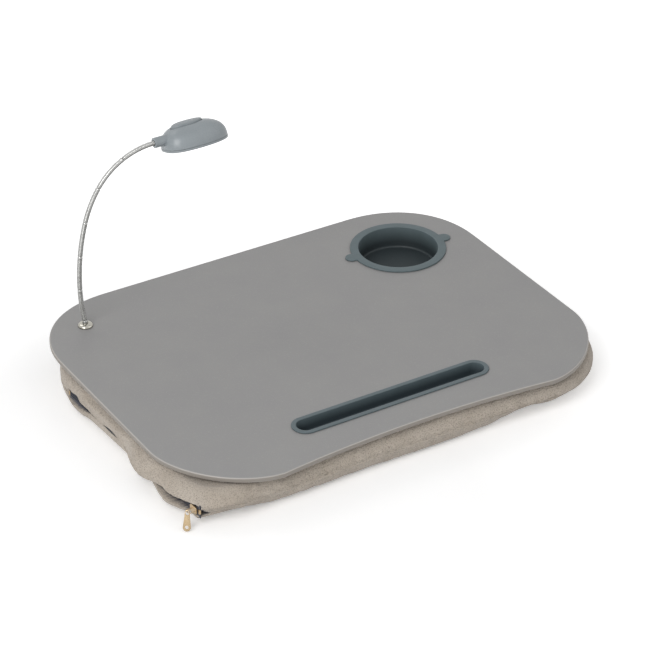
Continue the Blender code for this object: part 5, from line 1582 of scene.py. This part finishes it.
def strand(tree, radius, length):
    """The round-ended strand that is repeated, and the size that each one is given."""
    ball = {"Radius": 0.5, "Segments": STRAND_FACES[0], "Rings": STRAND_FACES[1]}
    wide = add(tree, "ShaderNodeMath", {0: radius, 1: 2.0}, operation="MULTIPLY")
    size = add(tree, "ShaderNodeCombineXYZ", {"X": wide, "Y": wide, "Z": length})
    return {"Instance": add(tree, "GeometryNodeMeshUVSphere", ball), "Scale": size}


def stitch_tree():
    """Short rounded strands laid end to end along a line."""
    tree, given, names = new_tree("strands", ("Pitch", "Length", "Radius"))
    path = add(tree, "GeometryNodeMeshToCurve", {"Mesh": given["Geometry"]})
    spots = {"Curve": path, "Length": given["Pitch"]}
    spots = add(tree, "GeometryNodeResampleCurve", spots, mode="LENGTH")
    tangent = add(tree, "GeometryNodeInputTangent")
    aim = add(tree, "FunctionNodeAlignRotationToVector", {"Vector": tangent}, axis="Z")
    strands = {"Points": spots, "Rotation": aim, **strand(tree, given["Radius"], given["Length"])}
    strands = add(tree, "GeometryNodeInstanceOnPoints", strands)
    return close_tree(tree, strands, given, names)


def seam_path():
    """The line of stitches just above the cushion's seam, from the zip's rear end round to its front."""
    turn, length = zip_line()
    back = turn.inverted()
    inset = shoulder_inset(STITCH_RISE / (CUSHION_HEIGHT - SEAM_HEIGHT)) - STITCH_LIFT
    kept = []
    for x, y in inset_loop(cushion_outline(), inset):
        local = back @ Vector((x, y, SEAM_HEIGHT))
        in_zip = x < 0 and -ZIP_END_FADE < local.y < length + ZIP_END_FADE
        if not in_zip:
            kept.append((x, y, seam_height(x, y) + STITCH_RISE))
    gaps = [(Vector(b) - Vector(a)).length for a, b in zip(kept, kept[1:])]
    cut = gaps.index(max(gaps)) + 1 if max(gaps) > ZIP_END_FADE else 0
    return kept[cut:] + kept[:cut]


def make_stitches():
    """The thread of the seam, one strand after another."""
    values = {"Pitch": STITCH_PITCH, "Length": STITCH_LENGTH, "Radius": STITCH_RADIUS}
    values["Material"] = MATERIALS["fleece"]
    dress(grow("seam_stitches", seam_path(), stitch_tree(), values), "fleece", "desk")


def tooth_tree():
    """Two rows of coil teeth that reach past the middle of the chain in turn."""
    tree, given, names = new_tree("coil_teeth", ("Pitch", "Radius", "Reach", "Overlap"))
    path = add(tree, "GeometryNodeMeshToCurve", {"Mesh": given["Geometry"]})
    half = add(tree, "ShaderNodeMath", {0: given["Pitch"], 1: 2.0}, operation="DIVIDE")
    spots = add(tree, "GeometryNodeResampleCurve", {"Curve": path, "Length": half}, mode="LENGTH")
    ends = {0: given["Reach"], 1: given["Overlap"]}
    tall = add(tree, "ShaderNodeMath", ends, operation="ADD")
    middle = {0: add(tree, "ShaderNodeMath", ends, operation="SUBTRACT"), 1: 2.0}
    middle = add(tree, "ShaderNodeMath", middle, operation="DIVIDE")
    odd = {0: add(tree, "GeometryNodeInputIndex"), 1: 2.0}
    odd = add(tree, "ShaderNodeMath", odd, operation="MODULO")
    side = add(tree, "ShaderNodeMapRange", {"Value": odd, "To Min": -1.0, "To Max": 1.0})
    shift = add(tree, "ShaderNodeMath", {0: side, 1: middle}, operation="MULTIPLY")
    shift = add(tree, "ShaderNodeCombineXYZ", {"Z": shift})
    moved = add(tree, "GeometryNodeSetPosition", {"Geometry": spots, "Offset": shift})
    teeth = {"Points": moved, **strand(tree, given["Radius"], tall)}
    teeth = add(tree, "GeometryNodeInstanceOnPoints", teeth)
    return close_tree(tree, teeth, given, names)


def make_chain():
    """The closed coil of the zip."""
    turn, length = zip_line()
    values = {"Pitch": TOOTH_PITCH, "Radius": TOOTH_RADIUS, "Reach": CHAIN_HEIGHT / 2}
    values.update({"Overlap": TOOTH_OVERLAP, "Material": MATERIALS["zip_teeth"]})
    lift = -CHAIN_THICKNESS / 2 + TOOTH_RADIUS
    path = [turn @ Vector((lift, share * length, 0)) for share in (0, 1)]
    dress(grow("zip_coil", path, tooth_tree(), values), "zip_teeth", "desk", ["zipper_chain"])


def make_tapes():
    """The two woven tapes that carry the teeth."""
    turn, length = zip_line()
    reach = CHAIN_HEIGHT / 2 + SEAT_GAP + TAPE_HEIGHT
    edge = TAPE_THICKNESS / 3
    thick = TAPE_THICKNESS
    for name, side in (("upper", 1), ("lower", -1)):
        low, high = sorted((side * SEAT_GAP / 2, side * reach))
        section = [(0, low + edge), (edge, low), (thick - edge, low), (thick, low + edge)]
        section += [(thick, high - edge), (thick - edge, high), (edge, high), (0, high - edge)]
        rings = []
        for i in range(TAPE_STEPS + 1):
            y = -STOP_LENGTH + (length + 2 * STOP_LENGTH) * i / TAPE_STEPS
            rings.append([(x, y, z) for x, z in section])
        tape = put(f"zip_tape_{name}", loft(rings), turn)
        dress(tape, "zip_tape", "desk", [f"zipper_tape_{name}"])


def make_stops():
    """The two stops at the ends of the chain."""
    turn, length = zip_line()
    half, thick = CHAIN_HEIGHT / 2, CHAIN_THICKNESS / 2
    for name, start in (("front", -SEAT_GAP - STOP_LENGTH), ("rear", length + SEAT_GAP)):
        end = start + STOP_LENGTH
        plan = [(start, -half), (end, -half), (end, half), (start, half)]
        slab = rounded_slab(plan, -thick, thick, STOP_EDGE_ROUND, FINE_RIM_STEPS)
        stop = put(f"zip_stop_{name}", slab, turn @ FLANK_PLANE)
        dress(stop, "brass", "desk", [f"zipper_stop_{name}"])


def tube(points, radius):
    """A round bar swept along a bent line, with flat ends."""
    rings = []
    across = Vector((0, 0, 1))
    for i, point in enumerate(points):
        along = (points[min(i + 1, len(points) - 1)] - points[max(i - 1, 0)]).normalized()
        flat = along.cross(across).normalized()
        rings.append([
            point + (flat * math.cos(a) + across * math.sin(a)) * radius for a in once_round(BAIL_SIDES)])
    return loft(rings)


def slider_face():
    """How far out the slider's plate lies from the middle of the chain, inner and outer face."""
    inner = CHAIN_THICKNESS / 2 + RUN_GAP
    return -inner, -inner - SLIDER_PLATE


def bail_line():
    """The bail's bent centre line: out from the plate, along, and back in, with round bends."""
    inner, outer = slider_face()
    half = BAIL_BAR / 2
    centre_x = outer - BAIL_REACH + half + BAIL_BEND
    ends = (BAIL_NOSE + half, BAIL_NOSE + BAIL_LENGTH - half)
    root = (inner + outer) / 2
    bends = []
    for y, sign in ((ends[0], 1), (ends[1], -1)):
        centre = Vector((centre_x, y + sign * BAIL_BEND, 0))
        angles = quarter_turn(BEND_STEPS)[::sign]
        bends += [centre + Vector((-math.sin(a), -sign * math.cos(a), 0)) * BAIL_BEND for a in angles]
    return [Vector((root, ends[0], 0)), *bends, Vector((root, ends[1], 0))]


def make_slider():
    """The slider: a bevelled plate with two lips round the chain, and its wire bail."""
    turn = zip_line()[0]
    upper = [(SLIDER_LENGTH * along, SLIDER_HEIGHT / 2 * high) for along, high in SLIDER_PLAN_SHARES]
    plan = [(y, -z) for y, z in upper] + list(reversed(upper))
    inner, outer = slider_face()
    slab = rounded_slab(plan, outer, inner, SLIDER_EDGE_ROUND, FINE_RIM_STEPS)
    piece = put("slider_body", slab, turn @ FLANK_PLANE)
    middle = (inner + outer) / 2
    lip_room = SLIDER_LENGTH * (1 - SLIDER_WIDEST_SHARE)
    steps = []
    for sign in (-1, 1):
        near = sign * (CHAIN_HEIGHT / 2 + RUN_GAP)
        bottom, top = sorted((near, near + sign * SLIDER_LIP))
        lip = block((middle, lip_room, bottom), (-RUN_GAP, SLIDER_LENGTH - lip_room, top))
        steps.append(("UNION", lip, turn))
    carve(piece, *steps, ("UNION", tube(bail_line(), BAIL_BAR / 2), turn))
    dress(piece, "brass", "slider", ["zipper_slider"])


def bail_place():
    """The middle of the bail's bar, where the pull hangs."""
    tip = slider_face()[1] - BAIL_REACH
    return zip_line()[0] @ Vector((tip + BAIL_BAR / 2, BAIL_NOSE + BAIL_LENGTH / 2, 0))


def make_pull():
    """The pull tab: a round eye on the bail, a tab that widens to a round end with a hole."""
    bail = bail_place()
    end_middle = PULL_LENGTH - PULL_END_HALF_WIDTH
    lean = math.acos((bail.z - PULL_FLOOR_GAP - PULL_END_HALF_WIDTH) / end_middle)
    heading = Matrix.Rotation(math.radians(PULL_HEADING_DEG), 4, "Z")
    here = Matrix.Translation(bail) @ heading @ Matrix.Rotation(-math.pi / 2 - lean, 4, "X")
    eye_middle = PULL_EYE_RADIUS - BAIL_BAR / 2 - PULL_PLAY - PULL_BAR
    outline = [(PULL_TOP_HALF_WIDTH, PULL_EYE_LENGTH)]
    outline += half_circle((0, end_middle), PULL_END_HALF_WIDTH, 0, TINY_STEPS)
    outline.append((-PULL_TOP_HALF_WIDTH, PULL_EYE_LENGTH))
    outline += half_circle((0, eye_middle), PULL_EYE_RADIUS, 180, TINY_STEPS)
    half = PULL_THICKNESS / 2
    piece = put("pull_tab", rounded_slab(outline, -half, half, PULL_EDGE_ROUND, FINE_RIM_STEPS), here)
    eye_top = -BAIL_BAR / 2 - PULL_PLAY
    eye_half = (PULL_EYE_LENGTH - PULL_BAR - eye_top) / 2
    eye = prism(oval(PULL_EYE_RADIUS - PULL_BAR, eye_half), -PULL_THICKNESS, PULL_THICKNESS)
    hole = cylinder(PULL_HOLE_RADIUS, -PULL_THICKNESS, PULL_THICKNESS, TINY_STEPS)
    carve(
        piece,
        ("DIFFERENCE", eye, here @ Matrix.Translation((0, eye_top + eye_half, 0))),
        ("DIFFERENCE", hole, here @ Matrix.Translation((0, end_middle, 0))),
    )
    dress(piece, "brass", "pull", ["zipper_pull"])


def finish_kept_solids():
    """Give every solid that stays visible its procedural finish."""
    for solid in frame["nodes"].values():
        for slot in solid.material_slots:
            base = slot.material.name.split(".")[0] if slot.material else ""
            if base in MATERIALS:
                slot.material = MATERIALS[base]


def seen_rays(tree):
    """One for the rays that show the background: from the camera, off gloss and through glass."""
    rays = add(tree, "ShaderNodeLightPath").node.outputs
    seen = {0: rays["Is Camera Ray"], 1: rays["Is Glossy Ray"]}
    seen = {0: add(tree, "ShaderNodeMath", seen, operation="MAXIMUM"), 1: rays["Is Transmission Ray"]}
    return add(tree, "ShaderNodeMath", seen, operation="MAXIMUM")


def make_floor():
    """A white floor that keeps the object's shadow and glows beyond it."""
    reach, low = FLOOR_HALF_WIDTH, -FLOOR_DROP
    mesh = bpy.data.meshes.new("floor")
    corners = [(-reach, -reach, low), (reach, -reach, low), (reach, reach, low), (-reach, reach, low)]
    mesh.from_pydata(corners, [], [(0, 1, 2, 3)])
    material = bpy.data.materials.new("floor_white")
    material.use_nodes = True
    tree = material.node_tree
    tree.nodes.clear()
    paper = add(tree, "ShaderNodeBsdfDiffuse", {"Color": "#f8f8f8"})
    away = {0: add(tree, "ShaderNodeTexCoord", out="Object"), 1: FLOOR_SHADOW_MIDDLE}
    away = add(tree, "ShaderNodeVectorMath", away, "Value", operation="DISTANCE")
    glow = {"Value": away, "From Min": FLOOR_GLOW_REACH[0], "From Max": FLOOR_GLOW_REACH[1]}
    glow.update({"To Min": FLOOR_GLOW[0], "To Max": FLOOR_GLOW[1]})
    glow = {0: seen_rays(tree), 1: add(tree, "ShaderNodeMapRange", glow)}
    glow = add(tree, "ShaderNodeMath", glow, operation="MULTIPLY")
    glow = add(tree, "ShaderNodeEmission", {"Strength": glow})
    both = add(tree, "ShaderNodeAddShader", {0: paper, 1: glow})
    add(tree, "ShaderNodeOutputMaterial", {"Surface": both})
    mesh.materials.append(material)
    floor = link_piece("floor", mesh)


def make_surround():
    """A white surround that lights the object more dimly than it shows."""
    world = bpy.data.worlds.new("studio")
    bpy.context.scene.world = world
    world.use_nodes = True
    tree = world.node_tree
    tree.nodes.clear()
    level = {"Value": seen_rays(tree), "To Min": AMBIENT_LEVEL, "To Max": 1.0}
    level = add(tree, "ShaderNodeMapRange", level)
    sky = add(tree, "ShaderNodeBackground", {"Color": "#ffffff", "Strength": level})
    add(tree, "ShaderNodeOutputWorld", {"Surface": sky})


def make_lamps():
    """Three soft square lamps that face the object."""
    for name, place, width, watts in LAMPS:
        light = bpy.data.lights.new(name, "AREA")
        light.shape = "SQUARE"
        light.size = width
        light.energy = watts
        lamp = link_piece(name, light)
        lamp.location = place
        lamp.rotation_euler = (-Vector(place)).to_track_quat("-Z", "Y").to_euler()


def make_camera():
    """The camera at the photograph's place and perspective."""
    azimuth, elevation = math.radians(CAMERA_AZIMUTH_DEG), math.radians(CAMERA_ELEVATION_DEG)
    flat = math.cos(elevation)
    forward = Vector((-math.sin(azimuth) * flat, math.cos(azimuth) * flat, -math.sin(elevation)))
    right = Vector((math.cos(azimuth), math.sin(azimuth), 0))
    up = right.cross(forward)
    roll = math.radians(CAMERA_ROLL_DEG)
    rolled_right = right * math.cos(roll) + up * math.sin(roll)
    rolled_up = up * math.cos(roll) - right * math.sin(roll)
    lens = bpy.data.cameras.new("camera")
    lens.sensor_width = SENSOR_MM
    lens.lens = CAMERA_LENS_MM
    lens.clip_start = CLIP_START
    lens.clip_end = CLIP_END
    camera = link_piece("camera", lens)
    axes = Matrix((rolled_right, rolled_up, -forward)).transposed().to_4x4()
    camera.matrix_world = Matrix.Translation(CAMERA_PLACE) @ axes
    bpy.context.scene.camera = camera
    bpy.context.scene.view_settings.view_transform = "Standard"


MATERIALS = make_materials()
make_camera()
make_floor()
make_surround()
make_lamps()
finish_kept_solids()
make_board()
make_cushion()
make_cup_holder()
make_pen_tray()
make_stud()
make_collar()
make_neck()
make_head_shell()
make_head_base()
make_button()
make_lens()
make_battery_cover()
make_screws()
make_stitches()
make_chain()
make_tapes()
make_stops()
make_slider()
make_pull()
